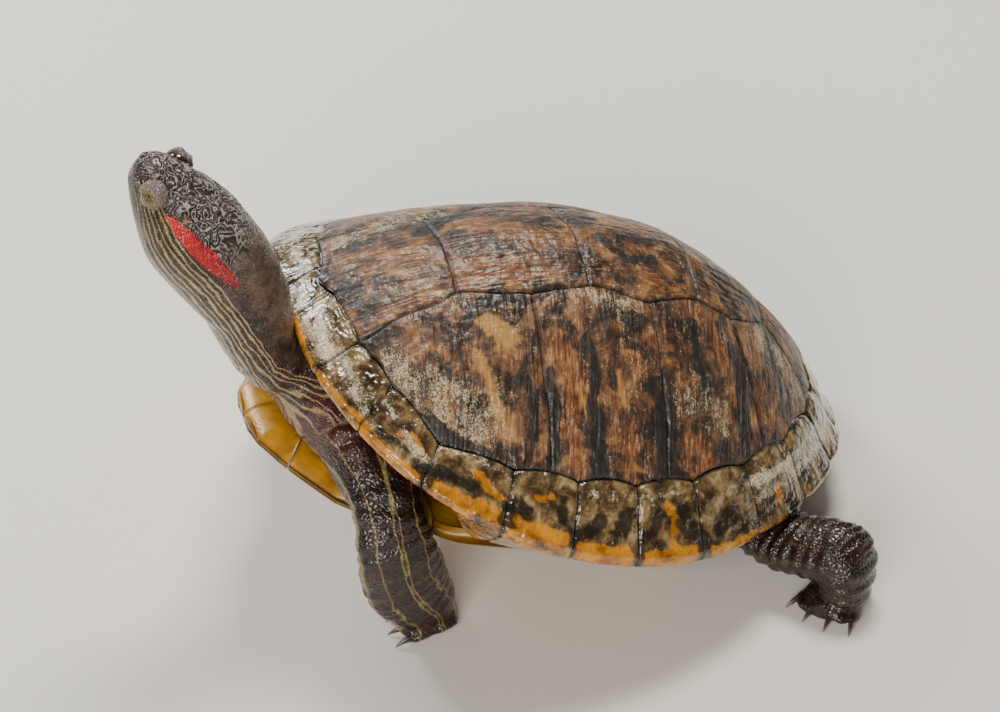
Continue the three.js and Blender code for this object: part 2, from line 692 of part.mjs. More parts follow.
function bareManifold(geometry) {
  const bare = new THREE.BufferGeometry();
  bare.setAttribute('position', geometry.getAttribute('position').clone());
  bare.setIndex(Array.from({ length: bare.getAttribute('position').count }, (_, i) => i));
  return toManifold(bare);
}

let headSolid = toManifold(loftRings(headRings));
[1, -1].forEach((sideSign) => {
  const centre = headPoint(EYE_BACK, sideSign * EYE_OUT, EYE_UP);
  headSolid = headSolid.subtract(bareManifold(placed(eyeBall(PIECE_GAP), centre)));
  const name = sideSign > 0 ? 'eye_left' : 'eye_right';
  addPiece(name, fromManifold(bareManifold(placed(eyeBall(0), centre))), EYE_COLOUR, 0.15);
});
addPiece('head', fromManifold(headSolid), SKIN_DARK, 0.5);

// ---------------------------------------------------------------- neck, legs, tail, trunk

NECK_STATIONS[0].at = headPoint(NECK_START, 0, 0).toArray();
NECK_STATIONS[0].side = headLeft.toArray();
const neckCut = -headPoint(HEAD_LENGTH + PIECE_GAP, 0, 0).dot(HEAD_AXIS);
const limbs = [
  { name: 'neck', stations: NECK_STATIONS, paw: null },
  { name: 'foreleg_left', stations: FORELEG_STATIONS, paw: FORE_PAW },
  { name: 'foreleg_right', stations: mirrorStations(FORELEG_STATIONS), paw: mirrorPaw(FORE_PAW) },
  { name: 'hindleg_left', stations: HINDLEG_STATIONS, paw: HIND_PAW },
  { name: 'hindleg_right', stations: OFF_HINDLEG_STATIONS, paw: OFF_HIND_PAW },
  { name: 'tail', stations: TAIL_STATIONS, paw: null },
];

// half width of the body inside the shell, front to rear: y, half width
const trunkWidthAt = stationCurve([
  [0.08, 0.100],
  [0.12, 0.165],
  [0.18, 0.225],
  [0.26, 0.275],
  [0.32, 0.300],
  [0.60, 0.300],
  [0.68, 0.268],
  [0.76, 0.232],
  [0.84, 0.176],
  [0.90, 0.112],
  [0.93, 0.060],
]);
const TRUNK_SPAN = [0.105, 0.915];
const TRUNK_SLICES = 13;
const BELLY_HALF_WIDTH = 0.186;
const ROOF_DEPTH = (SCUTE_THICKNESS * 1.75 + PIECE_GAP) / CARAPACE_LENGTH;
const BELLY_DEPTH = (PLASTRON_THICKNESS + 2 * PIECE_GAP) / CARAPACE_LENGTH;

/** Body inside the shell, in slices from front to rear. */
function trunkRings() {
  const rings = [];
  for (let r = 0; r <= TRUNK_SLICES; r += 1) {
    const y = THREE.MathUtils.lerp(...TRUNK_SPAN, r / TRUNK_SLICES);
    const w = trunkWidthAt(y);
    const under = Math.min(w, BELLY_HALF_WIDTH);
    const roof = (x) => domeHeight(x, y) - ROOF_DEPTH;
    const belly = (x) => plastronHeight(x, y) + BELLY_DEPTH;
    const ring = [];
    for (let i = 0; i <= 10; i += 1) {
      const x = Math.sin(((i / 10) * 2 - 1) * Math.PI / 2) * w;
      ring.push([x, roof(x)]);
    }
    for (let i = 0; i <= 4; i += 1) {
      const x = (1 - (i / 4) * 2) * under;
      ring.push([x, Math.min(belly(x), roof(x) - 0.01)]);
    }
    rings.push(ring.map(([x, z]) => placeShell(x, y, z)));
  }
  return rings;
}

const channels = [];
limbs.forEach(({ name, stations, paw }) => {
  channels.push(toManifold(loftRings(limbRings(stations, LIMB_RINGS, SPINE_SIDES, PIECE_GAP))));
  let solid = toManifold(loftRings(limbRings(stations, LIMB_RINGS, SPINE_SIDES)));
  if (paw) solid = pawSolids(paw).reduce((whole, piece) => whole.add(piece), solid);
  if (name === 'neck') solid = solid.trimByPlane(HEAD_AXIS.clone().negate().toArray(), neckCut);
  addPiece(name, fromManifold(solid.subtract(floor)), SKIN_DARK, 0.55);
});
const wholeTrunk = toManifold(loftRings(trunkRings()));
const trunk = channels.reduce((body, channel) => body.subtract(channel), wholeTrunk);
addPiece('trunk', fromManifold(trunk), SKIN_DARK, 0.6);

// ---------------------------------------------------------------- the standing animal

const turtle = new THREE.Group();
turtle.name = 'red_eared_slider';
const bounds = new THREE.Box3();
pieces.forEach(({ geometry }) => {
  geometry.computeBoundingBox();
  bounds.union(geometry.boundingBox);
});
const middle = bounds.getCenter(new THREE.Vector3());
pieces.forEach(({ name, geometry, colour, roughness }) => {
  const solid = geometry.translate(-middle.x, -middle.y, 0);
  solid.computeVertexNormals();
  const mesh = new THREE.Mesh(solid, material(colour, roughness));
  mesh.name = name;
  turtle.add(mesh);
});

export default turtle;
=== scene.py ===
# %% [markdown]
# # A red-eared slider, life size, as a still museum model
# This lesson finishes a turtle whose plain solids are already made. Each cell
# makes one piece of the animal or one finish, and prints what it measured. The
# shell plates, the claws and the eyes are separate pieces, as on the living
# animal, and a single skin covers the head, neck, legs and tail.

# %% Load the frame
import math
from functools import partial

import bmesh
import bpy
import numpy as np
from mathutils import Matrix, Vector


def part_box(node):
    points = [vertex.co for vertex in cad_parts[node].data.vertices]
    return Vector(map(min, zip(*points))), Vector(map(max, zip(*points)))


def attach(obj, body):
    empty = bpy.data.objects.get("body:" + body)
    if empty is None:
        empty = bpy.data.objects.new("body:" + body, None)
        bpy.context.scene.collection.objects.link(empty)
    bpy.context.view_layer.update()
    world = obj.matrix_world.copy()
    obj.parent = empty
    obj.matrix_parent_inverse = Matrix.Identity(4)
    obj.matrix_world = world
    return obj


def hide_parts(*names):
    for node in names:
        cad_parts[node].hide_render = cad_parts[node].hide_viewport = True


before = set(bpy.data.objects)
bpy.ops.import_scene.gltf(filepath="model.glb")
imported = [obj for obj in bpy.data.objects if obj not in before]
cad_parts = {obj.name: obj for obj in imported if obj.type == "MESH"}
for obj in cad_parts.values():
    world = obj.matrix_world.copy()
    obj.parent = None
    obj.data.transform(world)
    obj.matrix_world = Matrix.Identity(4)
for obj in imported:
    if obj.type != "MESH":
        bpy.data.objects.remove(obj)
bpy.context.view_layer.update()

MM = 0.001

# %% [markdown]
# ## Camera, floor and light
# The turtle is seen from its front left, 40 degrees above it, through a long
# lens, so that near and far parts keep their sizes. The camera is placed from
# a compass angle, a height angle and a distance round one aim point. A pale
# floor and three large soft lamps stand in for an overcast sky: wet horn and
# wet skin only read as wet when something broad and bright mirrors in them.

# %% Camera
AIM = Vector((-4.8, 22.2, 60.1)) * MM
VIEW_AZIMUTH = math.radians(72.72)
VIEW_HEIGHT = math.radians(40.0)
VIEW_DISTANCE = 1280 * MM
LENS_MM = 149.1
LENS_SHIFT = (-0.0646, -0.0117)

camera = bpy.data.objects.new("camera", bpy.data.cameras.new("camera"))
bpy.context.scene.collection.objects.link(camera)
toward_camera = Vector((
    math.sin(VIEW_AZIMUTH) * math.cos(VIEW_HEIGHT),
    -math.cos(VIEW_AZIMUTH) * math.cos(VIEW_HEIGHT),
    math.sin(VIEW_HEIGHT),
))
camera.location = AIM + toward_camera * VIEW_DISTANCE
camera.rotation_euler = (math.pi / 2 - VIEW_HEIGHT, 0.0, VIEW_AZIMUTH)
camera.data.lens = LENS_MM
camera.data.sensor_width = 36.0
camera.data.shift_x, camera.data.shift_y = LENS_SHIFT
camera.data.clip_end = 20.0
bpy.context.scene.camera = camera
print("camera at (mm):", [round(v / MM) for v in camera.location])

# %% [markdown]
# ## One function for every material node
# A finish is a small program made of nodes. One function adds a node, sets it and
# links it, and gives back the output that the next node needs. A kind written in
# capitals is an arithmetic step, such as "MULTIPLY_ADD", which is a * b + c. Colours
# are written as on a paint chart, in sRGB, and turned to linear light on the way in.

# %% Nodes and colours


def srgb(hex_colour):
    """Linear RGBA from an sRGB hex string."""
    channels = [int(hex_colour[i:i + 2], 16) / 255 for i in (1, 3, 5)]
    return tuple(c / 12.92 if c <= 0.04045 else ((c + 0.055) / 1.055) ** 2.4 for c in channels) + (1.0,)


def fill(made, inputs):
    """Links or sets a node's inputs by name or place; a text value is a colour."""
    for key, value in inputs.items():
        if isinstance(value, bpy.types.NodeSocket):
            made.id_data.links.new(value, made.inputs[key])
        else:
            made.inputs[key].default_value = srgb(value) if isinstance(value, str) else value


def node(tree, kind, *feeds, out=None, stops=(), **settings):
    """Adds a node and gives one output; feeds go to its open inputs in order."""
    if kind.isupper():
        kind, settings["operation"] = "Math", kind
    made = tree.nodes.new("ShaderNode" + kind)
    if kind == "Mix":
        made.data_type = "RGBA"
    named = {key: settings.pop(key) for key in list(settings) if key in made.inputs}
    for key, value in settings.items():
        setattr(made, key, value)
    open_inputs = [i for i, socket in enumerate(made.inputs) if socket.enabled]
    fill(made, {**dict(zip(open_inputs, feeds)), **named})
    for k, (position, colour) in enumerate(stops):
        elements = made.color_ramp.elements
        if k == len(elements):
            elements.new(1.0)
        elements[k].position = position
        elements[k].color = srgb(colour) if isinstance(colour, str) else (colour,) * 3 + (1.0,)
    return made.outputs[out] if out else next(socket for socket in made.outputs if socket.enabled)


def new_material(name):
    """A material, its shader, and the node function bound to its tree."""
    made = bpy.data.materials.new(name)
    made.use_nodes = True
    return made, made.node_tree.nodes["Principled BSDF"], partial(node, made.node_tree)


print("half grey in linear light:", round(srgb("#808080")[0], 3))

# %% [markdown]
# ## Floor and lamps
# The floor is plain matt paper, a hair under the soles so that the two don't
# fight. The lamps are squares wider than the animal, which gives soft shadows and
# broad highlights.

# %% Floor and lamps
FLOOR_HALF = 3.0
FLOOR_GAP = 0.02 * MM
floor_mesh = bpy.data.meshes.new("floor")
floor_corners = [(x * FLOOR_HALF, y * FLOOR_HALF, -FLOOR_GAP)
                 for x, y in ((-1, -1), (1, -1), (1, 1), (-1, 1))]
floor_mesh.from_pydata(floor_corners, [], [(0, 1, 2, 3)])
floor = bpy.data.objects.new("floor", floor_mesh)
bpy.context.scene.collection.objects.link(floor)
floor_paper, floor_shader, _ = new_material("matt_floor_paper")
fill(floor_shader, {"Base Color": "#d9d8d4", "Roughness": 0.9})
floor_mesh.materials.append(floor_paper)


def soft_lamp(name, place_mm, size_mm, watts, colour):
    """Square area lamp aimed at the animal."""
    data = bpy.data.lights.new(name, "AREA")
    data.shape = "RECTANGLE"
    data.size, data.size_y = (s * MM for s in size_mm)
    data.energy = watts
    data.color = srgb(colour)[:3]
    lamp = bpy.data.objects.new(name, data)
    lamp.location = Vector(place_mm) * MM
    lamp.rotation_euler = (AIM - lamp.location).to_track_quat("-Z", "Y").to_euler()
    bpy.context.scene.collection.objects.link(lamp)


soft_lamp("sky_lamp", (-420, 240, 1150), (420, 360), 16, "#fff8ec")
soft_lamp("window_lamp", (-900, -500, 700), (420, 420), 12, "#f8faff")
soft_lamp("fill_lamp", (900, -500, 600), (600, 600), 15, "#fff6ea")
world = bpy.data.worlds.new("soft_room")
world.use_nodes = True
fill(world.node_tree.nodes["Background"], {"Color": "#efeae2", "Strength": 0.16})
bpy.context.scene.world = world
print("stage set: floor, 3 lamps, soft world light")

# %% [markdown]
# ## The shell's form
# A turtle's shell is a vault of bone under thin plates of horn called scutes.
# Its form could be sculpted, but a few stations give it more surely: the rim
# seen from above, the keel seen from the side, and a bell-shaped arch between
# them. They are fractions of the carapace length: x out from the midline, y
# back from the front edge and z up from the flat of the belly. The same stations
# shaped the solids, so a point worked out here lies on them.

# %% Curves through stations


def station_curve(stations):
    """Smooth curve through (position, value) stations that never overshoots them."""
    xs, ys = (np.array(column, float) for column in zip(*stations))
    rise = np.diff(ys) / np.diff(xs)
    slope = np.zeros(len(xs))
    slope[0], slope[-1] = rise[0], rise[-1]
    same_way = rise[:-1] * rise[1:] > 0
    middle = 2 * rise[:-1] * rise[1:] / np.where(same_way, rise[:-1] + rise[1:], 1.0)
    slope[1:-1] = np.where(same_way, middle, 0.0)

    def curve(x):
        x = np.asarray(x, float)
        i = np.clip(np.searchsorted(xs, x, side="right") - 1, 0, len(xs) - 2)
        h = xs[i + 1] - xs[i]
        t = np.clip((x - xs[i]) / h, 0, 1)
        rising = t * t * (3 - 2 * t)
        return (ys[i] * (1 - rising) + ys[i + 1] * rising
                + h * slope[i] * t * (1 - t) ** 2 - h * slope[i + 1] * t * t * (1 - t))

    return curve


def spline(points, closed):
    """Centripetal curve through points; takes a count along them, as an array."""
    points = np.array(points, float)
    n = len(points)
    if not closed:
        points = np.vstack([2 * points[0] - points[1], points, 2 * points[-1] - points[-2]])

    def curve(u):
        u = np.asarray(u, float)
        if closed:
            i = np.floor(u).astype(int)
            w = (u - i)[..., None]
            a, b, c, d = (points[(i + k) % n] for k in (-1, 0, 1, 2))
        else:
            i = np.clip(np.floor(u).astype(int), 0, n - 2)
            w = (u - i)[..., None]
            a, b, c, d = (points[i + k] for k in (0, 1, 2, 3))
        gaps = [np.maximum(np.linalg.norm(q - p, axis=-1, keepdims=True) ** 0.5, 1e-6)
                for p, q in ((a, b), (b, c), (c, d))]
        into = ((b - a) / gaps[0] - (c - a) / (gaps[0] + gaps[1]) + (c - b) / gaps[1]) * gaps[1]
        out = ((c - b) / gaps[1] - (d - b) / (gaps[1] + gaps[2]) + (d - c) / gaps[2]) * gaps[1]
        cubic = 2 * b - 2 * c + into + out
        square = -3 * b + 3 * c - 2 * into - out
        return b + w * (into + w * (square + w * cubic))

    return curve


print("halfway up a rise of two stations:", float(station_curve([(0, 0), (1, 1)])(0.5)))

# %% [markdown]
# ### Stations of the shell
# Fourteen stations give the rim from the front midline to the rear one, and eleven
# give the keel. The arch between them is flat-topped and steep at the rim, as a
# slider's is. The whole shell is then tipped up to the animal's stance.

# %% Stations of the shell
CARAPACE_LENGTH = 200 * MM
SHELL_PITCH = math.radians(18.7)
FLOOR_DROP = 54.2 * MM
MIDLINE_X = sum(corner.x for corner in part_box("vertebral_3")) / 2
DATUM_Y = -85.35 * MM

RIM_STATIONS = [
    (0.000, 0.030, 0.236),
    (0.034, 0.029, 0.237),
    (0.145, 0.040, 0.224),
    (0.238, 0.092, 0.194),
    (0.322, 0.178, 0.162),
    (0.374, 0.303, 0.130),
    (0.398, 0.415, 0.112),
    (0.403, 0.525, 0.106),
    (0.384, 0.640, 0.108),
    (0.336, 0.755, 0.118),
    (0.264, 0.855, 0.130),
    (0.180, 0.930, 0.138),
    (0.094, 0.972, 0.140),
    (0.000, 0.978, 0.140),
]
KEEL_STATIONS = [
    (0.000, 0.226),
    (0.050, 0.268),
    (0.120, 0.311),
    (0.220, 0.356),
    (0.340, 0.391),
    (0.460, 0.407),
    (0.600, 0.394),
    (0.720, 0.349),
    (0.820, 0.286),
    (0.900, 0.220),
    (0.980, 0.140),
]
MARGINAL_WIDTHS = (0.036, 0.050, 0.066, 0.064, 0.054, 0.064, 0.072, 0.076,
                   0.076, 0.074, 0.072, 0.070, 0.068, 0.068)
RIM_COUNT = 2 * (len(RIM_STATIONS) - 1)

half_width_at = station_curve([(y, x) for x, y, _ in RIM_STATIONS[1:]])
rim_height_at = station_curve([(y, z) for _, y, z in RIM_STATIONS[1:]])
keel_height_at = station_curve(KEEL_STATIONS)
marginal_width_at = station_curve(list(enumerate(MARGINAL_WIDTHS)))
rim_curve = spline(RIM_STATIONS + [(-x, y, z) for x, y, z in RIM_STATIONS[-2:0:-1]], closed=True)


def dome_height(x, y):
    """Height of the upper shell over a point of its plan."""
    across = np.clip(np.abs(x) / np.maximum(half_width_at(y), 1e-6), 0, 1)
    rim = rim_height_at(y)
    return rim + (keel_height_at(y) - rim) * (1 - across ** 1.9) ** 1.2


def place_shell(points):
    """From shell fractions to metres on the floor, with the front of the shell raised."""
    points = np.asarray(points, float) * CARAPACE_LENGTH
    x, y, z = points[..., 0], points[..., 1], points[..., 2]
    back = y * math.cos(SHELL_PITCH) + z * math.sin(SHELL_PITCH)
    up = z * math.cos(SHELL_PITCH) - y * math.sin(SHELL_PITCH)
    return np.stack([x + MIDLINE_X, back + DATUM_Y, up + FLOOR_DROP], axis=-1)


print("keel top (mm):", np.round(place_shell((0, 0.46, 0.407)) / MM, 1))

# %% [markdown]
# ### The ring of marginal scutes
# Twenty-five plates edge the shell: the small nuchal over the neck and twelve
# marginals each side. A place on the ring is a count u of plates from the front
# midline, positive on the animal's left, so every seam is at a whole number. Each
# plate bulges inward a little in the middle, which scallops the seam that it
# shares with the big side plates.

# %% Places on the ring
SCALLOP = 0.0065


def rim_inward(u):
    """Unit plan vectors that point inward across the rim at u."""
    along = rim_curve(np.asarray(u, float) + 0.05) - rim_curve(np.asarray(u, float) - 0.05)
    inward = np.stack([-along[..., 1], along[..., 0]], axis=-1)
    return inward / np.linalg.norm(inward, axis=-1, keepdims=True)


def ring_width(u):
    """Width of the ring's upper face at u, scalloped between its seams."""
    u = np.abs(np.where(np.asarray(u, float) > RIM_COUNT / 2, np.asarray(u, float) - RIM_COUNT, u))
    bulge = np.abs(np.sin(np.pi * u)) ** 0.8 * np.clip((u - 1.0) / 2.0, 0.25, 1.0)
    return marginal_width_at(u) + SCALLOP * np.where(u < 1, 0.0, bulge)


def ring_seam(u):
    """Plan points on the seam between the ring and the plates inside it."""
    return rim_curve(u)[..., :2] + rim_inward(u) * ring_width(u)[..., None]


# %% [markdown]
# ### Grain
# Horn and skin are never even. One small lattice-noise function gives every
# piece its waviness, in real millimetres, and it is seeded, so that the shape is
# the same at every run.

# %% Lattice noise
lattice_dice = np.random.default_rng(41)
LATTICE = lattice_dice.random((32, 32, 32)) * 2 - 1


def grain(points, size_mm, shift=0.0):
    """Smooth noise from -1 to 1 at points in metres; size_mm is one lattice step."""
    p = np.asarray(points, float) / (size_mm * MM) + 7.31 + shift
    cell = np.floor(p).astype(int)
    f = p - cell
    f = f * f * (3 - 2 * f)
    total = 0
    for corner in np.ndindex(2, 2, 2):
        weight = np.prod([f[..., k] if corner[k] else 1 - f[..., k] for k in range(3)], axis=0)
        x, y, z = ((cell[..., k] + corner[k]) % 32 for k in range(3))
        total = total + weight * LATTICE[x, y, z]
    return total


print("grain spread:", round(float(grain(lattice_dice.random((500, 3)), 9).std()), 3))

# %% [markdown]
# ## Horn
# The scutes are keratin, the same stuff as fingernail: a brown, slightly clear
# sheet, grown in yearly rings over bone, here wet. It gives the eye three things:
# a deep mottled colour, fine lines that run with the growth, and a broken wet
# gloss. The mottling is noise stretched along the grain of each plate, the lines
# come from the ring number that each vertex holds, and the water is a thin clear
# coat over it all. Keratin's index of refraction is about 1.55.

# %% Wet horn of the upper shell
KERATIN_IOR = 1.55
WATER_IOR = 1.33
MOTTLE_MM = 9.0
STREAK_MM = 0.9
CRUST_GRAIN_MM = 0.55
RIDGE_MM = 2.3
PIT_MM = 1.7


def grain_coordinates(add, across=0.16):
    """Coordinates in metres that are short across the growth lines and long along them."""
    lines = add("MULTIPLY", add("Attribute", out="Fac", attribute_name="line_mm"), MM)
    length = add("MULTIPLY", add("Attribute", out="Fac", attribute_name="length_mm"), MM * across)
    height = add("SeparateXYZ", add("TexCoord", out="Object"), out="Z")
    depth = add("MULTIPLY", height, across)
    return add("CombineXYZ", X=lines, Y=length, Z=depth)


def wet_coat(shader, weight, roughness):
    """Film of water over a finish."""
    fill(shader, {"Coat Weight": weight, "Coat Roughness": roughness, "Coat IOR": WATER_IOR})


def growth_lines(add, count, ragged=0.10):
    """Fine dark and light lines that follow the ring number of a plate."""
    place = add("TexCoord", out="Object")
    wobble = add("TexNoise", place, Scale=1 / (6.0 * MM), Detail=4.0, Roughness=0.6)
    ring = add("Attribute", out="Fac", attribute_name="ring")
    ring = add("ADD", ring, add("MULTIPLY", wobble, ragged * 2))
    return add("MULTIPLY_ADD", add("SINE", add("MULTIPLY", ring, count * 2 * math.pi)), 0.5, 0.5)


def make_carapace_horn():
    """Brown horn with rust, ochre and black growth, and a mineral crust."""
    made, shader, add = new_material("wet_keratin_upper_shell")
    mark = {key: add("Attribute", out="Fac", attribute_name=key)
            for key in ("rust", "ochre", "crust", "black", "seam_mm")}
    place = add("TexCoord", out="Object")
    grained = grain_coordinates(add)
    mottle = add("TexNoise", place, Scale=1 / (MOTTLE_MM * MM), Detail=6.0, Roughness=0.65, Distortion=0.6)
    patch = add("TexNoise", place, Scale=1 / (5.0 * MM), Detail=5.0, Roughness=0.7, Distortion=0.8)
    streak = add(
        "TexNoise", grained, Scale=1 / (STREAK_MM * MM), Detail=6.0, Roughness=0.75, Distortion=0.8
    )
    colour = add(
        "ValToRGB", mottle,
        stops=[(0.37, "#0f0907"), (0.48, "#38261a"), (0.56, "#6c4a2e"), (0.68, "#a48152")],
    )
    streaks = add("ValToRGB", streak, stops=[(0.34, "#140d09"), (0.5, "#7a5c3e"), (0.64, "#dcb982")])
    colour = add("Mix", 0.5, colour, streaks, blend_type="OVERLAY")
    rusty = add("ValToRGB", streak, stops=[(0.36, "#26140a"), (0.5, "#713f1a"), (0.66, "#bd8a4e")])
    rust_edge = add("ADD", mark["rust"], add("MULTIPLY_ADD", patch, 3.4, -1.8))
    colour = add("Mix", add("ValToRGB", rust_edge, stops=[(0.15, 0.0), (0.95, 0.8)]), colour, rusty)
    ochre_edge = add("ADD", mark["ochre"], add("MULTIPLY_ADD", streak, 1.4, -0.7))
    colour = add("Mix", add("ValToRGB", ochre_edge, stops=[(0.15, 0.0), (1.0, 0.78)]), colour, "#a87c3c")
    lines = growth_lines(add, 15)
    colour = add(
        "Mix", 0.28, colour, add("ValToRGB", lines, stops=[(0.0, 0.55), (0.35, 0.95), (1.0, 1.0)]),
        blend_type="MULTIPLY",
    )
    speck = add("TexNoise", place, Scale=1 / (CRUST_GRAIN_MM * MM), Detail=3.0, Roughness=0.75)
    wanted = add("ADD", add("MULTIPLY", mark["crust"], 0.11), add("MULTIPLY", patch, 0.5))
    wanted = add("ADD", wanted, add("MULTIPLY", streak, 0.5))
    crust = add(
        "ValToRGB", add("ADD", add("MULTIPLY", speck, 0.5), wanted), stops=[(0.825, 0.0), (0.95, 0.8)]
    )
    colour = add(
        "Mix", crust, colour, add("ValToRGB", speck, stops=[(0.35, "#7c6845"), (0.65, "#d6c7a2")])
    )
    black_edge = add("ADD", mark["black"], add("MULTIPLY_ADD", streak, 1.7, -0.85))
    colour = add("Mix", add("ValToRGB", black_edge, stops=[(0.3, 0.0), (0.62, 0.92)]), colour, "#0d0b0a")
    seam = add("ValToRGB", add("MULTIPLY", mark["seam_mm"], 0.4), stops=[(0.08, 0.3), (0.5, 1.0)])
    colour = add("Mix", 0.85, colour, seam, blend_type="MULTIPLY")
    wetness = add("TexNoise", place, Scale=1 / (14.0 * MM), Detail=3.0, Roughness=0.6)
    rough = add(
        "ValToRGB", add("ADD", wetness, add("MULTIPLY", crust, 0.22)),
        stops=[(0.35, 0.45), (0.6, 0.58), (0.85, 0.75)],
    )
    fill(shader, {"Base Color": colour, "Roughness": rough, "IOR": KERATIN_IOR})
    wet_coat(shader, 0.30, 0.13)
    ridges = add("TexNoise", grained, Scale=1 / (RIDGE_MM * MM), Detail=1.5, Distortion=0.6)
    pits = add("TexNoise", place, Scale=1 / (PIT_MM * MM), Detail=1.0)
    relief = add("ADD", add("MULTIPLY", pits, 0.5), add("MULTIPLY", ridges, 1.6))
    dents = add("TexNoise", place, Scale=1 / (5.5 * MM), Detail=1.5)
    relief = add("ADD", relief, add("MULTIPLY", dents, 1.6))
    bump = add("Bump", Height=relief, Strength=1.0, Distance=0.7 * MM)
    fill(shader, {"Normal": bump, "Coat Normal": bump})
    return made


carapace_horn = make_carapace_horn()
print("finish:", carapace_horn.name)

# %% [markdown]
# ### Horn of the rim
# The marginals are the same horn, glossier on top and paler there with crust and
# a painted silvery sheen, amber along the edge, and yellow beneath with dark
# rings. The belly horn that follows is ochre yellow with a dark blot on each
# plate, so it needs no brown base at all.

# %% Wet horn of the rim
RIM_MOTTLE_MM = 6.0


def make_marginal_horn():
    """Olive-brown horn with pale crust and a painted silvery sheen on top, amber at its edge and yellow
    beneath.
    """
    made, shader, add = new_material("wet_keratin_rim")
    mark = {key: add("Attribute", out="Fac", attribute_name=key)
            for key in ("inset_mm", "amber", "crust", "soot", "seam_mm")}
    place = add("TexCoord", out="Object")
    mottle = add(
        "TexNoise", place, Scale=1 / (RIM_MOTTLE_MM * MM), Detail=6.0, Roughness=0.66, Distortion=0.3
    )
    patch = add("TexNoise", place, Scale=1 / (3.2 * MM), Detail=5.0, Roughness=0.7, Distortion=0.8)
    speck = add("TexNoise", place, Scale=1 / (CRUST_GRAIN_MM * MM), Detail=3.0, Roughness=0.7)
    upper = add(
        "ValToRGB", mottle,
        stops=[(0.34, "#1a130b"), (0.46, "#40301c"), (0.56, "#6a5535"), (0.68, "#9a8862")],
    )
    lower = add(
        "ValToRGB", mottle,
        stops=[(0.38, "#1c1206"), (0.45, "#7a4d0c"), (0.56, "#b8780f"), (0.7, "#cf9a2c")],
    )
    below = add(
        "ValToRGB", add("MULTIPLY_ADD", mark["inset_mm"], -0.25, 0.5), stops=[(0.4, 0.0), (0.62, 1.0)]
    )
    colour = add("Mix", below, upper, lower)
    amber_edge = add("ADD", mark["amber"], add("MULTIPLY_ADD", patch, 1.6, -0.8))
    amber = add("ValToRGB", amber_edge, stops=[(0.3, 0.0), (0.62, 0.94)])
    colour = add(
        "Mix", amber, colour, add("ValToRGB", mottle, stops=[(0.35, "#7d4903"), (0.6, "#c07f0a")])
    )
    lines = growth_lines(add, 6)
    colour = add(
        "Mix", 0.2, colour, add("ValToRGB", lines, stops=[(0.0, 0.62), (0.4, 1.0)]), blend_type="MULTIPLY"
    )
    # pale crust; on the rim the same mask also paints a silvery sheen of wet horn
    wanted = add("ADD", add("MULTIPLY", mark["crust"], 0.34), add("MULTIPLY", patch, 0.5))
    crust = add(
        "ValToRGB", add("ADD", add("MULTIPLY", speck, 0.6), wanted), stops=[(0.66, 0.0), (0.86, 0.85)]
    )
    colour = add(
        "Mix", crust, colour, add("ValToRGB", speck, stops=[(0.35, "#8f8468"), (0.65, "#e6dfc8")])
    )
    soot_edge = add("ADD", mark["soot"], add("MULTIPLY_ADD", patch, 1.4, -0.7))
    colour = add("Mix", add("ValToRGB", soot_edge, stops=[(0.2, 0.0), (0.7, 0.88)]), colour, "#16110b")
    seam = add("ValToRGB", add("MULTIPLY", mark["seam_mm"], 0.5), stops=[(0.08, 0.35), (0.5, 1.0)])
    colour = add("Mix", 0.85, colour, seam, blend_type="MULTIPLY")
    rough = add(
        "ValToRGB", add("ADD", mottle, add("MULTIPLY", crust, 0.15)), stops=[(0.35, 0.18), (0.85, 0.42)]
    )
    fill(shader, {"Base Color": colour, "Roughness": rough, "IOR": KERATIN_IOR})
    wet_coat(shader, 1.0, 0.05)
    dents = add("TexNoise", place, Scale=1 / (2.6 * MM), Detail=1.5, Distortion=0.4)
    knobs = add("TexNoise", place, Scale=1 / (4.5 * MM), Detail=1.0, Roughness=0.6)
    relief = add("ADD", dents, add("MULTIPLY", knobs, 1.6))
    relief = add("ADD", relief, add("MULTIPLY", lines, 0.08))
    bump = add("Bump", Height=relief, Strength=1.0, Distance=0.6 * MM)
    fill(shader, {"Normal": bump, "Coat Normal": bump})
    return made


marginal_horn = make_marginal_horn()
print("finish:", marginal_horn.name)

# %% [markdown]
# ### Horn of the belly
# This horn is thinner and evener, so only a broad mottle, the blots, the growth
# lines and a low bump are needed.

# %% Wet horn of the belly


def make_plastron_horn():
    """Ochre yellow horn with a soft dark blot on each plate."""
    made, shader, add = new_material("wet_keratin_belly")
    place = add("TexCoord", out="Object")
    mottle = add("TexNoise", place, Scale=1 / (12.0 * MM), Detail=4.0, Roughness=0.55, Distortion=0.5)
    speck = add("TexNoise", place, Scale=1 / (1.2 * MM), Detail=3.0, Roughness=0.7)
    colour = add("ValToRGB", mottle, stops=[(0.32, "#8a5a04"), (0.5, "#ad7a06"), (0.68, "#c69510")])
    blot = add("Attribute", out="Fac", attribute_name="blot")
    blot = add("MULTIPLY", blot, add("MULTIPLY_ADD", speck, 0.6, 0.6, use_clamp=True))
    colour = add("Mix", blot, colour, "#3a2d18")
    lines = growth_lines(add, 8)
    colour = add(
        "Mix", 0.25, colour, add("ValToRGB", lines, stops=[(0.0, 0.7), (0.4, 1.0)]), blend_type="MULTIPLY"
    )
    seam = add("Attribute", out="Fac", attribute_name="seam_mm")
    seam = add("ValToRGB", add("MULTIPLY", seam, 0.6), stops=[(0.08, 0.3), (0.4, 1.0)])
    colour = add("Mix", 0.8, colour, seam, blend_type="MULTIPLY")
    rough = add("ValToRGB", speck, stops=[(0.35, 0.28), (0.7, 0.42)])
    fill(shader, {"Base Color": colour, "Roughness": rough, "IOR": KERATIN_IOR})
    wet_coat(shader, 0.25, 0.14)
    relief = add("ADD", add("MULTIPLY", speck, 0.5), add("MULTIPLY", lines, 0.3))
    bump = add("Bump", Height=relief, Strength=0.5, Distance=0.2 * MM)
    fill(shader, {"Normal": bump})
    return made


plastron_horn = make_plastron_horn()
print("finish:", plastron_horn.name)

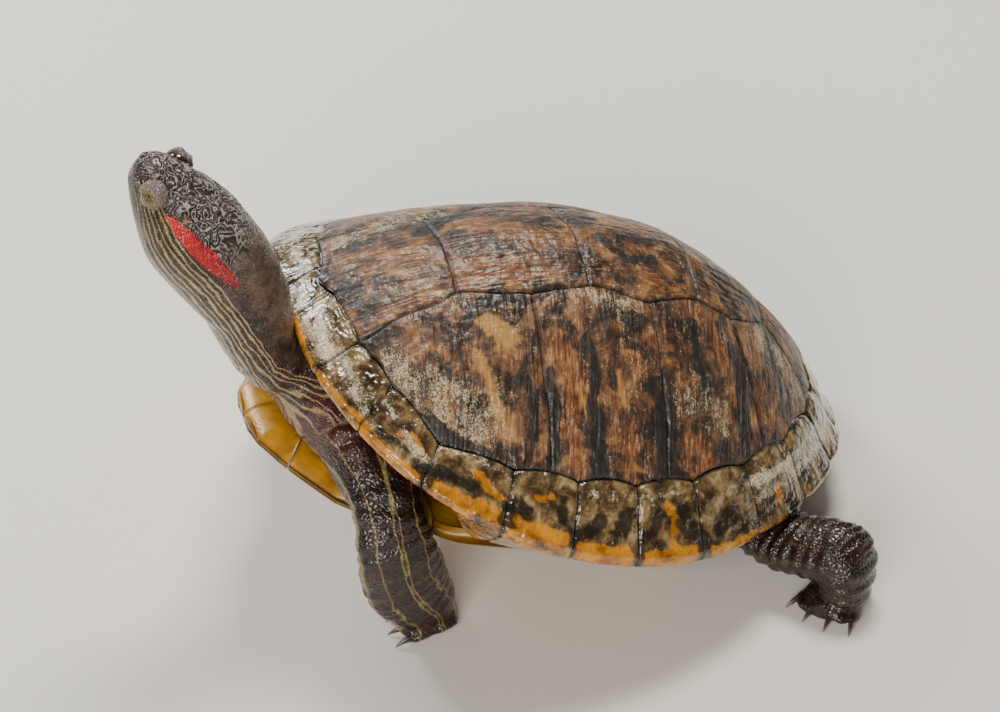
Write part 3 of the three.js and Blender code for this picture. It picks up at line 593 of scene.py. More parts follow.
# %% [markdown]
# ### One plate of horn
# Each scute is a closed plate: a fine outer face, rounded down to the seam at its
# edges, a wall, and an inner face under it. The outer face starts as a grid on
# the vault and is pushed along its normals by real heights: the pillow of the
# plate, the wrinkles of its growth rings and the unevenness of old horn. Every
# vertex also keeps a few numbers, such as its distance from the seam, and the
# materials read those in place of a painted picture.

# %% Plate builder
HORN_THICKNESS = 3.0 * MM
EDGE_ROUND = 0.9 * MM
RING_POWER = 5.0


def eased(count, crowd=0.45):
    """Positions from 0 to 1, closer together near both ends."""
    t = np.linspace(0, 1, count)
    return (1 - crowd) * t + crowd * (0.5 - 0.5 * np.cos(np.pi * t))


def grid_normals(grid):
    """Unit normals of a grid of points, by its neighbours."""
    normal = np.cross(np.gradient(grid, axis=1), np.gradient(grid, axis=0))
    return normal / np.maximum(np.linalg.norm(normal, axis=-1, keepdims=True), 1e-12)


def edge_distances(grid):
    """Length along the grid to its four sides, in metres: start, end, front, rear."""
    def run(axis):
        steps = np.linalg.norm(np.diff(grid, axis=axis), axis=-1)
        first = np.zeros_like(np.take(steps, [0], axis=axis))
        return np.cumsum(np.concatenate([first, steps], axis=axis), axis=axis)
    across, back = run(1), run(0)
    return across, across[:, -1:] - across, back, back[-1:] - back


def growth(distances, heart):
    """Ring coordinate: 0 at the plate's first, oldest patch and 1 at its seams."""
    start, end, front, rear = distances
    s = start / (start + end)
    t = front / (front + rear)
    reach_s = np.where(s < heart[0], (heart[0] - s) / heart[0], (s - heart[0]) / (1 - heart[0]))
    reach_t = np.where(t < heart[1], (heart[1] - t) / heart[1], (t - heart[1]) / (1 - heart[1]))
    return (reach_s ** RING_POWER + reach_t ** RING_POWER) ** (1 / RING_POWER)


def rounded_edge(distance, radius=EDGE_ROUND):
    """Drop of a rounded edge, as a height, at a distance in from it."""
    near = np.clip(1 - distance / radius, 0, 1)
    return -radius * (1 - np.sqrt(np.maximum(1 - near ** 2, 0)))


def mesh_object(name, points, faces, numbers, material):
    """Mesh object from arrays, with its per-vertex numbers, smooth-shaded."""
    mesh = bpy.data.meshes.new(name)
    mesh.from_pydata(points.tolist(), [], faces)
    for key, values in numbers.items():
        layer = mesh.attributes.new(key, "FLOAT", "POINT")
        layer.data.foreach_set("value", np.asarray(values, np.float32).ravel())
    mesh.shade_smooth()
    mesh.materials.append(material)
    made = bpy.data.objects.new(name, mesh)
    bpy.context.scene.collection.objects.link(made)
    return made


def grid_quads(rows, cols, offset=0):
    """Quads of a grid of vertices, as an index array."""
    first = (np.arange(rows - 1)[:, None] * cols + np.arange(cols - 1)[None, :]).ravel() + offset
    return np.stack([first, first + 1, first + cols + 1, first + cols], axis=1)


def plate_object(name, outer, outward, numbers, material, thickness=HORN_THICKNESS):
    """Closed plate under a fine outer grid; replaces the solid of the same name."""
    thickness = np.broadcast_to(thickness, outer.shape[:2] + (1,))
    if np.sum(grid_normals(outer) * outward) < 0:
        outer = outer[:, ::-1]
        outward = outward[:, ::-1]
        thickness = thickness[:, ::-1]
        numbers = {key: value[:, ::-1] for key, value in numbers.items()}
    rows, cols = outer.shape[:2]
    under = rows * cols
    inner = outer - outward * thickness
    border = np.concatenate([
        np.arange(cols), np.arange(1, rows) * cols + cols - 1,
        (rows - 1) * cols + np.arange(cols - 2, -1, -1), np.arange(rows - 2, 0, -1) * cols,
    ])
    ahead = np.roll(border, -1)
    walls = np.stack([border, under + border, under + ahead, ahead], axis=1)
    faces = np.vstack([grid_quads(rows, cols)[:, ::-1], grid_quads(rows, cols, under), walls])
    points = np.vstack([outer.reshape(-1, 3), inner.reshape(-1, 3)])
    doubled = {key: np.concatenate([value.ravel(), value.ravel()]) for key, value in numbers.items()}
    made = mesh_object(name, points, faces.tolist(), doubled, material)
    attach(made, "root")
    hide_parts(name)
    return made

print("horn (mm):", round(HORN_THICKNESS / MM, 1), "thick, edges rounded by", round(EDGE_ROUND / MM, 1))

# %% [markdown]
# ### Markings of the upper shell
# A slider's horn carries yellow-orange bars and rib-like black bars that fade
# with age, and rubbed or mineral-crusted patches. Each kind is a list of strokes:
# points in millimetres out from the midline and back from the front edge, and a
# half width. A stroke gives each vertex a number that falls from 1 on the stroke
# to 0 outside it, with an edge made ragged by grain along the growth lines.

# %% Strokes
BLACK_BARS = [
    ([(43, 75), (50, 76), (60, 77)], 1.9),
    ([(53, 90), (58, 91), (66, 92)], 3.2),
    ([(49, 113), (56, 114), (66, 116)], 4.0),
    ([(34, 142), (40, 143), (48, 144)], 3.2),
    ([(25, 159), (29, 161), (33, 162)], 1.6),
    ([(34, 87), (41, 90), (45, 90), (50, 88)], 1.9),
    ([(44, 68), (50, 70), (56, 70)], 1.5),
    ([(26, 125), (33, 125), (41, 127)], 1.4),
    ([(22, 142), (29, 145)], 1.6),
    ([(49, 33), (52, 40), (57, 48), (60, 56)], 2.6),
    ([(28, 50), (23, 56), (22, 63), (24, 70)], 2.2),
    ([(-8, 44), (-14, 52), (-16, 60)], 3.0),
    ([(2, 97), (9, 104), (8, 114)], 1.8),
    ([(13, 139), (16, 146)], 1.5),
    ([(-45, 90), (-58, 92), (-68, 93)], 3.0),
    ([(-48, 114), (-62, 117)], 3.4),
    ([(-30, 126), (-42, 128)], 2.0),
    ([(-38, 62), (-52, 66)], 2.2),
]
RUST_PATCHES = [
    ([(-7, 60), (3, 77)], 5.5),
    ([(11, 52), (13, 60), (15, 68)], 6.5),
    ([(-5, 27), (1, 36), (7, 46)], 4.5),
    ([(34, 78), (42, 81), (50, 83)], 5.0),
    ([(54, 80), (60, 84), (67, 87)], 4.0),
    ([(56, 101), (66, 102)], 4.5),
    ([(24, 131), (31, 135), (40, 141)], 5.0),
    ([(53, 123), (62, 131)], 5.5),
    ([(42, 147), (40, 155), (38, 163)], 3.0),
    ([(14, 110), (17, 118), (20, 127)], 4.0),
    ([(-24, 84), (-40, 86), (-60, 84)], 6.0),
    ([(-22, 130), (-40, 136), (-52, 132)], 6.0),
    ([(-30, 46), (-44, 50)], 6.0),
    ([(-10, 108), (-12, 124)], 4.0),
    ([(-3, 154), (4, 166)], 4.0),
]
OCHRE_BARS = [
    ([(27, 55), (30, 59), (33, 63)], 3.2),
    ([(36, 53), (41, 56), (45, 57), (51, 60)], 1.7),
    ([(42, 97), (49, 99)], 1.2),
    ([(36, 144), (44, 147)], 1.0),
    ([(46, 84), (54, 88)], 0.9),
    ([(-30, 56), (-44, 58), (-54, 58)], 2.2),
    ([(-36, 100), (-52, 101)], 1.8),
    ([(-28, 140), (-42, 142)], 1.8),
]
CREAM_CRUST = [
    ([(36, 30), (44, 40), (52, 54)], 9.0),
    ([(12, 34), (16, 42), (21, 48)], 5.0),
    ([(-18, 25), (-21, 38), (-20, 55)], 7.0),
    ([(47, 118), (45, 126), (46, 134)], 5.0),
    ([(19, 155), (21, 166), (24, 170)], 7.0),
    ([(20, 82), (24, 94), (22, 104)], 6.0),
    ([(-30, 105), (-50, 108)], 8.0),
    ([(-8, 140), (-4, 150)], 6.0),
]


def stroke_value(places, strokes, ragged_mm=1.1, soft_mm=0.8):
    """1 on the strokes and 0 away from them, at plan places in millimetres."""
    stretched = np.dstack([places[..., 0] * 0.45, places[..., 1] * 2.0, places[..., 0] * 0]) * MM
    crumbs = grain(np.dstack([places, places[..., :1]]) * MM, 1.1)
    ragged = (grain(stretched, 3.0, 5.0) + 0.5 * crumbs) * ragged_mm
    value = np.zeros(places.shape[:-1])
    for route, half_width in strokes:
        far = np.full(places.shape[:-1], 1e9)
        for a, b in zip(np.array(route[:-1], float), np.array(route[1:], float)):
            leg = b - a
            t = np.clip(((places - a) @ leg) / (leg @ leg), 0, 1)
            far = np.minimum(far, np.linalg.norm(places - a - t[..., None] * leg, axis=-1))
        value = np.maximum(value, np.clip((half_width + ragged - far) / soft_mm, 0, 1))
    return value


print("strokes:", sum(map(len, (BLACK_BARS, RUST_PATCHES, OCHRE_BARS, CREAM_CRUST))))

# %% [markdown]
# ### Keel plates and side plates
# Five vertebral scutes run down the keel and four pleurals cover each side. A
# plate is stretched between its four seams, which are drawn once and shared by
# the neighbours, so no gap opens. The seams wander a little, as real ones do, by
# one smooth push that depends only on the place.

# %% Carapace plates
VERTEBRAL_CORNERS = [
    {"seam": (0.092, 0.245), "point": (0.110, 0.358)},
    {"seam": (0.098, 0.447), "point": (0.112, 0.553)},
    {"seam": (0.086, 0.646), "point": (0.092, 0.710)},
    {"seam": (0.047, 0.796), "point": None},
]
PLEURAL_FEET = (2.0, 5.55, 7.55, 9.50, 11.45)
SEAM_HALF_GAP = 0.05 * MM / CARAPACE_LENGTH
PLATE_CELLS = 64


def along(path, t):
    """Points at shares t of a path; every leg of it takes an equal share."""
    path = np.asarray(path, float)
    k = np.clip(t, 0, 1) * (len(path) - 1)
    i = np.minimum(np.floor(k).astype(int), len(path) - 2)
    w = (k - i)[..., None]
    return path[i] * (1 - w) + path[i + 1] * w


def plan_patch(start, end, front, rear, rows, cols):
    """Plan grid between four boundary paths, a hair inside them."""
    t, s = np.meshgrid(eased(rows), eased(cols), indexing="ij")
    span = np.linalg.norm(along(start, t) - along(end, t), axis=-1)
    s = s + (1 - 2 * s) * SEAM_HALF_GAP / np.maximum(span, 0.004)
    t = t + (1 - 2 * t) * SEAM_HALF_GAP / 0.15
    sw, tw = s[..., None], t[..., None]
    corners = [np.asarray(path, float)[k] for path, k in ((start, 0), (end, 0), (start, -1), (end, -1))]
    patch = along(start, t) * (1 - sw) + along(end, t) * sw
    patch += along(front, s) * (1 - tw) + along(rear, s) * tw
    patch -= corners[0] * (1 - sw) * (1 - tw) + corners[1] * sw * (1 - tw)
    return patch - corners[2] * (1 - sw) * tw - corners[3] * sw * tw


def wander(plan):
    """Plan points pushed a little sideways, the same for both plates at a seam."""
    flat = np.dstack([plan, np.zeros(plan.shape[:2])]) * CARAPACE_LENGTH
    edge = half_width_at(plan[..., 1]) - np.abs(plan[..., 0])
    calm = np.clip((edge - 0.06) / 0.08, 0, 1)[..., None] * 0.9 * MM / CARAPACE_LENGTH
    return plan + calm * np.dstack([grain(flat, 9, 1.0), grain(flat, 9, 2.0)])


def horn_relief(points, ring, seam_distance, rings, pillow_mm):
    """Height of old horn over the smooth vault: pillow, growth wrinkles, unevenness."""
    wave = ring * rings + 0.7 * grain(points, 11, 3.0)
    wrinkle = np.sin(2 * np.pi * wave) * np.clip(ring - 0.2, 0, 1)
    waves = 0.22 * grain(points, 14, 4.0) + 0.10 * grain(points, 4, 5.0)
    height = pillow_mm * (1 - ring ** 2.5) + 0.075 * wrinkle + waves
    return height * MM + rounded_edge(seam_distance)


def carapace_plate(name, plan, heart, rings, pillow_mm, keel_mm=0.0):
    """Finished plate of the upper shell over a plan grid."""
    plan = wander(plan)
    vault = place_shell(np.dstack([plan, dome_height(plan[..., 0], plan[..., 1])]))
    normal = grid_normals(vault)
    normal *= np.sign(normal[..., 2:])
    distances = edge_distances(vault)
    seam_distance = np.minimum.reduce(distances)
    ring = growth(distances, heart)
    height = horn_relief(vault, ring, seam_distance, rings, pillow_mm)
    height += keel_mm * MM * np.exp(-(plan[..., 0] * CARAPACE_LENGTH / (4.5 * MM)) ** 2)
    places = plan * CARAPACE_LENGTH / MM
    numbers = {
        "seam_mm": seam_distance / MM,
        "ring": ring,
        "black": stroke_value(places, BLACK_BARS),
        "rust": stroke_value(places, RUST_PATCHES, 3.0, 3.0),
        "ochre": stroke_value(places, OCHRE_BARS, 0.8, 0.8),
        "crust": stroke_value(places, CREAM_CRUST, 4.0, 5.0),
        "line_mm": np.abs(places[..., 0]) if keel_mm else places[..., 1],
        "length_mm": places[..., 1] if keel_mm else np.abs(places[..., 0]),
    }
    outer = vault + normal * height[..., None]
    return plate_object(name, outer, normal, numbers, carapace_horn)


def ring_path(start, end, steps=48):
    """Seam of the marginal ring between two counts."""
    return ring_seam(np.linspace(start, end, steps + 1))


def mirrored(path):
    """The same plan path on the other side of the midline."""
    return np.asarray(path, float) * (-1, 1)


corners = VERTEBRAL_CORNERS
front_corner = ring_seam(np.array([2.0]))[0]
rear_corner = ring_seam(np.array([PLEURAL_FEET[4]]))[0]
KEEL_SIDES = [
    [front_corner, corners[0]["seam"]],
    [corners[0]["seam"], corners[0]["point"], corners[1]["seam"]],
    [corners[1]["seam"], corners[1]["point"], corners[2]["seam"]],
    [corners[2]["seam"], corners[2]["point"], corners[3]["seam"]],
    [corners[3]["seam"], rear_corner],
]
for i, side in enumerate(KEEL_SIDES):
    front = ring_path(2.0, -2.0) if i == 0 else [side[0], mirrored(side[0])]
    rear = [side[-1], mirrored(side[-1])]
    if i == 4:
        rear = ring_path(PLEURAL_FEET[4], RIM_COUNT - PLEURAL_FEET[4])
    plan = plan_patch(side, mirrored(side), front, rear, PLATE_CELLS, PLATE_CELLS)
    carapace_plate(f"vertebral_{i + 1}", plan, (0.5, 0.68), 11, 0.5, keel_mm=0.7)

SIDE_TOPS = [
    [front_corner, corners[0]["seam"], corners[0]["point"]],
    [corners[0]["point"], corners[1]["seam"], corners[1]["point"]],
    [corners[1]["point"], corners[2]["seam"], corners[2]["point"]],
    [corners[2]["point"], corners[3]["seam"], rear_corner],
]
for i, top in enumerate(SIDE_TOPS):
    foot = ring_path(PLEURAL_FEET[i], PLEURAL_FEET[i + 1])
    plan = plan_patch(top, foot, [top[0], foot[0]], [top[-1], foot[-1]], PLATE_CELLS, PLATE_CELLS)
    carapace_plate(f"pleural_{i + 1}_left", plan, (0.34, 0.62), 13, 0.45)
    carapace_plate(f"pleural_{i + 1}_right", plan * (-1, 1), (0.34, 0.62), 13, 0.45)
print("carapace plates:", 5 + 2 * len(SIDE_TOPS))

# %% [markdown]
# ### Marginal plates
# A marginal wraps the rim: a pillowed upper face, a blunt edge, and an under face
# that runs in to the skin, or at the sides down the bridge to the belly. Its
# section is drawn once as a few real offsets and swept along the rim. Behind the
# hips the edges flare and notch slightly at each seam.

# %% Marginal section
BRIDGE_START = 4.6
BRIDGE_END = 8.6
NOTCH_DEPTH = 1.0 * MM
MARGINAL_ROWS = 46
MARGINAL_COLS = 40


def smooth(x, low, high):
    """Soft step from 0 to 1 between two values."""
    t = np.clip((np.asarray(x, float) - low) / (high - low), 0, 1)
    return t * t * (3 - 2 * t)


def from_front(u):
    """Plates between the front midline and u, by the shorter way round."""
    return abs(u if u <= RIM_COUNT / 2 else u - RIM_COUNT)


def marginal_offsets(u):
    """Section at u: distances inward and heights, from the inner seam over the edge and under."""
    a = from_front(u)
    width = float(ring_width(u))
    edge_z = float(rim_curve(u)[2])
    seam = ring_seam(u)
    top = float(dome_height(seam[0], seam[1]))
    bridge = float(smooth(a, BRIDGE_START - 0.5, BRIDGE_START + 0.3)
                   * (1 - smooth(a, BRIDGE_END - 0.3, BRIDGE_END + 0.5)))
    lip = 0.013 + 0.007 * bridge
    bulge = 0.003 + 0.003 * bridge
    foot_in = 0.046 + 0.026 * bridge
    foot_z = (edge_z - 0.004) * (1 - bridge) + 0.044 * bridge
    flare = float(smooth(a, 8.5, 10.5)) * 0.004
    return np.array([
        (width, top),
        (width * 0.72, top * 0.72 + edge_z * 0.28 + bulge * 0.9),
        (width * 0.42, top * 0.40 + edge_z * 0.60 + bulge * 0.7 - flare),
        (0.0060, edge_z + 0.0060 - flare * 0.3),
        (0.0008, edge_z + 0.0012),
        (0.0006, edge_z - lip * 0.55),
        (0.0060, edge_z - lip),
        (foot_in * 0.5, (edge_z - lip) * 0.55 + foot_z * 0.45 - 0.002),
        (foot_in, foot_z),
    ])


SECTION_SHARES = eased(MARGINAL_ROWS, 0.25)


def marginal_plate(name, start, end):
    """Finished marginal between two counts along the rim."""
    counts = start + (end - start) * eased(MARGINAL_COLS, 0.3)
    counts = counts + np.sign(np.mean(counts) - counts) * 0.0006
    grid = np.zeros((MARGINAL_ROWS, MARGINAL_COLS, 3))
    inset = np.zeros((MARGINAL_ROWS, MARGINAL_COLS))
    for c, u in enumerate(counts):
        offsets = marginal_offsets(u)
        route = spline(offsets, closed=False)(SECTION_SHARES * (len(offsets) - 1))
        a = from_front(u)
        notch = NOTCH_DEPTH * float(smooth(a, 7.5, 9.5)) * abs(math.cos(math.pi * u)) ** 10
        inward = rim_inward(u)
        reach = route[:, 0] + notch / CARAPACE_LENGTH * np.clip(1 - route[:, 0] / 0.03, 0, 1)
        grid[:, c, :2] = rim_curve(u)[:2] + reach[:, None] * inward[:2]
        grid[:, c, 2] = route[:, 1]
        under = SECTION_SHARES > 4.5 / (len(offsets) - 1)
        inset[:, c] = np.where(under, -route[:, 0], route[:, 0]) * CARAPACE_LENGTH / MM
    skin = place_shell(grid)
    normal = grid_normals(skin)
    middle = place_shell(np.append(rim_curve(np.mean(counts))[:2] * 0.8 + (0, 0.09), 0.1))
    if np.sum(normal[10:20] * (skin[10:20] - middle)) < 0:
        normal = -normal
    distances = edge_distances(skin)
    sides = np.minimum.reduce(distances)
    upper = (distances[0], distances[1], distances[2], np.maximum(distances[3] - 11 * MM, 1e-5))
    ring = growth(upper, (0.5, 0.62))
    height = horn_relief(skin, ring, sides, 6, 0.25)
    places = np.dstack([np.broadcast_to(counts * 10, inset.shape), inset])
    numbers = {
        "seam_mm": sides / MM,
        "ring": ring,
        "inset_mm": inset,
        "amber": stroke_value(places, AMBER_MARKS, 0.9, 0.9),
        "soot": stroke_value(places, SOOT_MARKS, 1.0, 1.0),
        "crust": stroke_value(places, RIM_CRUST_AND_SHEEN, 2.5, 3.5),
    }
    outer = skin + normal * height[..., None]
    return plate_object(name, outer, normal, numbers, marginal_horn)


# Marks on the ring: (ten times the count u, millimetres in from the edge; below 0 is under it).
AMBER_MARKS = [
    ([(-9, 0.4), (9.5, 0.4)], 0.7),
    ([(10.3, 0.2), (19.6, 0.3)], 0.9),
    ([(20.4, 0.4), (24, 0.8), (29.3, 1.5)], 1.2),
    ([(30.6, 0.4), (39.3, 0.6)], 1.3),
    ([(34, 5.5), (36.5, 8), (38.4, 6)], 0.9),
    ([(40.6, 1.0), (48.4, 1.8)], 1.9),
    ([(46, 8), (48.4, 6)], 1.1),
    ([(50.8, 1.4), (58, 1.5)], 2.5),
    ([(54, 8), (56, 9)], 0.9),
    ([(61.4, 1.0), (67.6, 1.0)], 2.3),
    ([(71.6, 0.6), (78, 0.6)], 1.9),
    ([(75, 3), (76, 8), (74.4, 11)], 0.9),
    ([(81.6, 0.3), (88, 0.3)], 1.3),
    ([(94.4, 4), (95.2, 9)], 1.1),
    ([(-20, 0.4), (-11, 0.4)], 1.1),
    ([(-39, 0.4), (-22, 0.4)], 1.4),
    ([(-59, 1), (-42, 1)], 2.2),
    ([(-79, 0.6), (-62, 0.6)], 2.0),
    ([(-96, 0), (-84, 0)], 1.2),
    ([(-56, 6), (-55, 9)], 1.1),
    ([(-76, 4), (-75, 9)], 1.1),
    ([(-36, 6), (-35, 9)], 1.1),
]
SOOT_MARKS = [
    ([(33, 3), (36, 4)], 0.9),
    ([(42, 5), (45, 5)], 1.5),
    ([(51.5, 7), (53, 4)], 1.5),
    ([(57.5, 9), (58, 5)], 1.4),
    ([(62, 4), (64, 8)], 1.3),
    ([(67, 5), (68, 9)], 1.6),
    ([(72, 5), (73, 8)], 1.3),
    ([(78, 4), (77.5, 9)], 1.7),
    ([(83, 4), (85, 7)], 1.6),
    ([(22, 6), (24, 6)], 0.7),
]
for k in (4, 5, 6, 7, 8):
    for side in (1, -1):
        SOOT_MARKS.append(([(side * 10 * k, -3), (side * (10 * k + 0.3), 3.6)], 1.5))
        SOOT_MARKS.append(([(side * (10 * k + 4), -6), (side * (10 * k + 6), -6.4)], 2.0))
# pale crust strokes, which also paint the silvery sheen on the wet ring's top
RIM_CRUST_AND_SHEEN = [
    ([(11, 6), (19, 5)], 4.0),
    ([(21, 7), (29, 5)], 2.6),
    ([(31, 8), (39, 5)], 1.8),
    ([(41, 11), (49, 11)], 1.6),
    ([(-9, 4), (9, 4)], 2.6),
    ([(62, 12), (78, 12)], 1.3),
    ([(92, 9), (110, 8)], 3.4),
    ([(-28, 7), (-12, 7)], 3.0),
]

marginal_plate("nuchal", -1, 1)
for m in range(1, 13):
    marginal_plate(f"marginal_{m}_left", m, m + 1)
    marginal_plate(f"marginal_{m}_right", -m - 1, -m)
print("ring plates:", 25)

# %% [markdown]
# ### Belly plates
# Twelve scutes cover the plastron, flat between the bridges and turned up a
# little at both ends. They are cut level where the rear tips stand on the floor.

# %% Plastron plates
PLASTRON_THICKNESS = 4.6 * MM
PLASTRON_CELLS = 40
LOBE_PLATES = ("gular", "humeral", "femoral", "anal")
LOBE_ROUND = 10 * MM
LOBE_THICKNESS = 7.0 * MM
PLASTRON_EDGE = [
    (0.000, 0.022),
    (0.062, 0.029),
    (0.118, 0.064),
    (0.190, 0.124),
    (0.232, 0.208),
    (0.240, 0.268),
    (0.282, 0.318),
    (0.306, 0.420),
    (0.314, 0.525),
    (0.292, 0.618),
    (0.238, 0.668),
    (0.224, 0.730),
    (0.200, 0.800),
    (0.150, 0.875),
    (0.080, 0.925),
    (0.000, 0.918),
]
PLASTRON_PLATES = [
    ("gular", (0.022, 0.130), (0, 2)),
    ("humeral", (0.130, 0.215), (2, 5)),
    ("pectoral", (0.215, 0.360), (5, 7)),
    ("abdominal", (0.360, 0.600), (7, 10)),
    ("femoral", (0.600, 0.720), (10, 12)),
    ("anal", (0.720, 0.918), (12, 15)),
]
LOBE_HEIGHTS = [(0.02, 0.014), (0.20, 0.003), (0.30, 0.0), (0.66, 0.0), (0.80, 0.010), (0.93, 0.026)]
lobe_height_at = station_curve(LOBE_HEIGHTS)


def plastron_height(x, y):
    """Height of the belly's outer face: flat, lobes turned up, bridges rising."""
    bridge = smooth(y, 0.255, 0.320) * (1 - smooth(y, 0.610, 0.675))
    rise = np.maximum(0, (np.abs(x) - 0.215) / 0.10)
    return lobe_height_at(y) + 0.038 * bridge * rise * rise


def reach_from_edge(plan):
    """Plan distance in metres from each point of a grid to the outline of the belly."""
    nearest = np.full(plan.shape[:2], np.inf)
    for start, end in zip(PLASTRON_EDGE[:-1], PLASTRON_EDGE[1:]):
        start, leg = np.array(start), np.subtract(end, start)
        offset = np.abs(plan) - start
        share = np.clip((offset @ leg) / (leg @ leg), 0, 1)
        nearest = np.minimum(nearest, np.linalg.norm(offset - share[..., None] * leg, axis=-1))
    return nearest * CARAPACE_LENGTH


def plastron_plate(name, plan):
    """Finished plate of the belly over a plan grid."""
    face = place_shell(np.dstack([plan, plastron_height(plan[..., 0], plan[..., 1])]))
    normal = grid_normals(face)
    normal *= -np.sign(normal[..., 2:])
    distances = edge_distances(face)
    seam_distance = np.minimum.reduce(distances)
    ring = growth(distances, (0.3, 0.3))
    height = (0.10 * grain(face, 9, 8.0) + 0.03 * np.sin(2 * np.pi * 8 * ring)) * MM
    face = face + normal * (height + rounded_edge(seam_distance, 0.6 * MM))[..., None]
    face[..., 2] = np.maximum(face[..., 2], 0.0)
    mark_x = (distances[0] / (distances[0] + distances[1]) - 0.55) * 2.4
    mark_y = (distances[2] / (distances[2] + distances[3]) - 0.5) * 2.4
    blot = 1 - smooth(np.hypot(mark_x, mark_y) + 0.28 * grain(face, 7, 9.0), 0.55, 0.75)
    blot = blot * smooth(plan[..., 1], 0.15, 0.30)
    numbers = {"seam_mm": seam_distance / MM, "ring": ring, "blot": blot}
    thickness = PLASTRON_THICKNESS
    if name.startswith(LOBE_PLATES):
        away = np.clip(reach_from_edge(plan) / LOBE_ROUND, 0, 1)[..., None]
        thickness = LOBE_THICKNESS * (0.06 + 0.94 * np.sqrt(1 - (1 - away) ** 2))
    return plate_object(name, face, normal, numbers, plastron_horn, thickness)


for name, midline, span in PLASTRON_PLATES:
    inner = [(0, midline[0]), (0, midline[1])]
    outer = [list(point) for point in PLASTRON_EDGE[span[0]:span[1] + 1]]
    if name == "gular":
        outer[0] = (0.030, midline[0])
    if name == "anal":
        outer[-1] = (0.020, midline[1])
    front, rear = [inner[0], outer[0]], [inner[1], outer[-1]]
    plan = plan_patch(inner, outer, front, rear, PLASTRON_CELLS, PLASTRON_CELLS)
    plastron_plate(f"{name}_left", plan)
    plastron_plate(f"{name}_right", plan * (-1, 1))
print("belly plates:", 2 * len(PLASTRON_PLATES))

# %% [markdown]
# ## The soft body
# Head, neck, legs and tail share one skin on the living animal, so they are made
# as one piece here. Each is first lofted as its own closed form round a bent
# centre line; the forms then run into each other inside the shell, a voxel
# remesh welds them into one surface, and a little smoothing melts the joins. The
# stations are millimetres on the standing animal: centre, the direction of the
# half width, the half width, and the heights above and below.

# %% Stations of the head and neck
HEAD_TIP = np.array([-8.0, -17.8, 155.6])
HEAD_AXIS = np.array([-0.414, -0.432, 0.799])
HEAD_AXIS /= np.linalg.norm(HEAD_AXIS)
HEAD_LEFT = np.array([0.86, -0.505, 0.075])
HEAD_LEFT -= HEAD_AXIS * (HEAD_LEFT @ HEAD_AXIS)
HEAD_LEFT /= np.linalg.norm(HEAD_LEFT)
HEAD_UP = np.cross(HEAD_AXIS, HEAD_LEFT)

# behind the snout, half width, height above and depth below the axis
HEAD_STATIONS = [
    (0.0, 1.9, 1.5, 2.3),
    (0.5, 3.1, 2.5, 3.7),
    (1.4, 4.6, 3.6, 5.2),
    (3.2, 6.5, 5.0, 7.2),
    (6.5, 8.6, 6.8, 9.2),
    (10.5, 10.9, 8.4, 10.9),
    (15.5, 13.7, 10.3, 12.6),
    (21.0, 16.1, 12.0, 14.4),
    (27.0, 17.2, 13.7, 15.6),
    (34.0, 16.0, 15.2, 15.4),
]
NECK_STATIONS = [
    ((6.0, 0.4, 121.0), (0.90, -0.42, 0.06), 15.6, 16.0, 14.8),
    ((6.0, 5.0, 109.0), (0.94, -0.30, 0.05), 14.6, 15.0, 12.2),
    ((5.4, 8.4, 97.0), (0.98, -0.18, 0.03), 15.0, 13.6, 11.0),
    ((4.0, 14.0, 85.0), (1.0, -0.06, 0.0), 17.0, 10.6, 10.6),
    ((0.0, 25.0, 75.5), (1.0, 0.0, 0.0), 19.5, 10.6, 11.6),
    ((0.0, 38.0, 68.0), (1.0, 0.0, 0.0), 19.0, 11.6, 12.0),
]
print("neck stations:", len(HEAD_STATIONS) + len(NECK_STATIONS))

# %% [markdown]
# ### Stations of the limbs and the tail
# Both forelegs bear the raised shell, so one set serves both sides. The hind legs
# stand differently and have a set each, and the tail curls round to the right.

# %% Stations of the limbs and the tail
FORELEG_STATIONS = [
    ((22, 39, 61), (-0.1, 1, 0), 13.0, 9.6, 8.6),
    ((38, 37.5, 60), (-0.1, 1, 0), 14.0, 8.8, 8.4),
    ((50.5, 37.0, 53), (-0.1, 1, 0), 10.8, 7.4, 6.8),
    ((56, 37.8, 41), (-0.15, 1, 0), 12.4, 7.0, 6.6),
    ((54.0, 40.4, 28), (-0.2, 1, 0), 13.4, 6.8, 6.6),
    ((50.5, 45.2, 16), (-0.3, 1, 0), 12.0, 6.2, 6.2),
    ((48.0, 49.5, 8), (-0.3, 1, 0), 9.6, 6.2, 6.0),
    ((47.5, 50, 3.0), (-0.3, 1, 0), 8.2, 5.6, 5.0),
]
HINDLEG_STATIONS = [
    ((29, 141, 28.0), (-0.2, 1, 0), 11.0, 7.4, 7.4),
    ((45, 151, 20.0), (-0.2, 1, 0), 11.6, 7.0, 7.0),
    ((58, 160.5, 14.2), (-0.3, 1, 0), 11.8, 6.8, 7.6),
    ((68, 169, 16.0), (-0.4, 1, 0), 12.0, 8.6, 9.0),
    ((74, 174, 17.5), (-0.7, 1, 0), 11.2, 9.2, 9.4),
    ((77, 175, 9.5), (-0.9, 0.8, 0), 10.4, 8.4, 8.0),
    ((77, 173, 3.4), (-0.9, 0.8, 0), 9.2, 7.6, 7.0),
]
OFF_HINDLEG_STATIONS = [
    ((-29, 141, 28.0), (0.2, 1, 0), 11.0, 7.4, 7.4),
    ((-44, 150.5, 21.4), (0.2, 1, 0), 12.0, 7.2, 7.2),
    ((-54, 158, 15.4), (0.2, 1, 0), 12.0, 7.2, 8.0),
    ((-59, 165, 12.8), (0.3, 1, 0), 11.4, 7.6, 8.4),
    ((-61.5, 169, 9.5), (0.5, 1, 0), 10.6, 7.6, 8.4),
    ((-63, 168, 3.4), (0.6, 0.9, 0), 9.2, 7.4, 7.2),
]
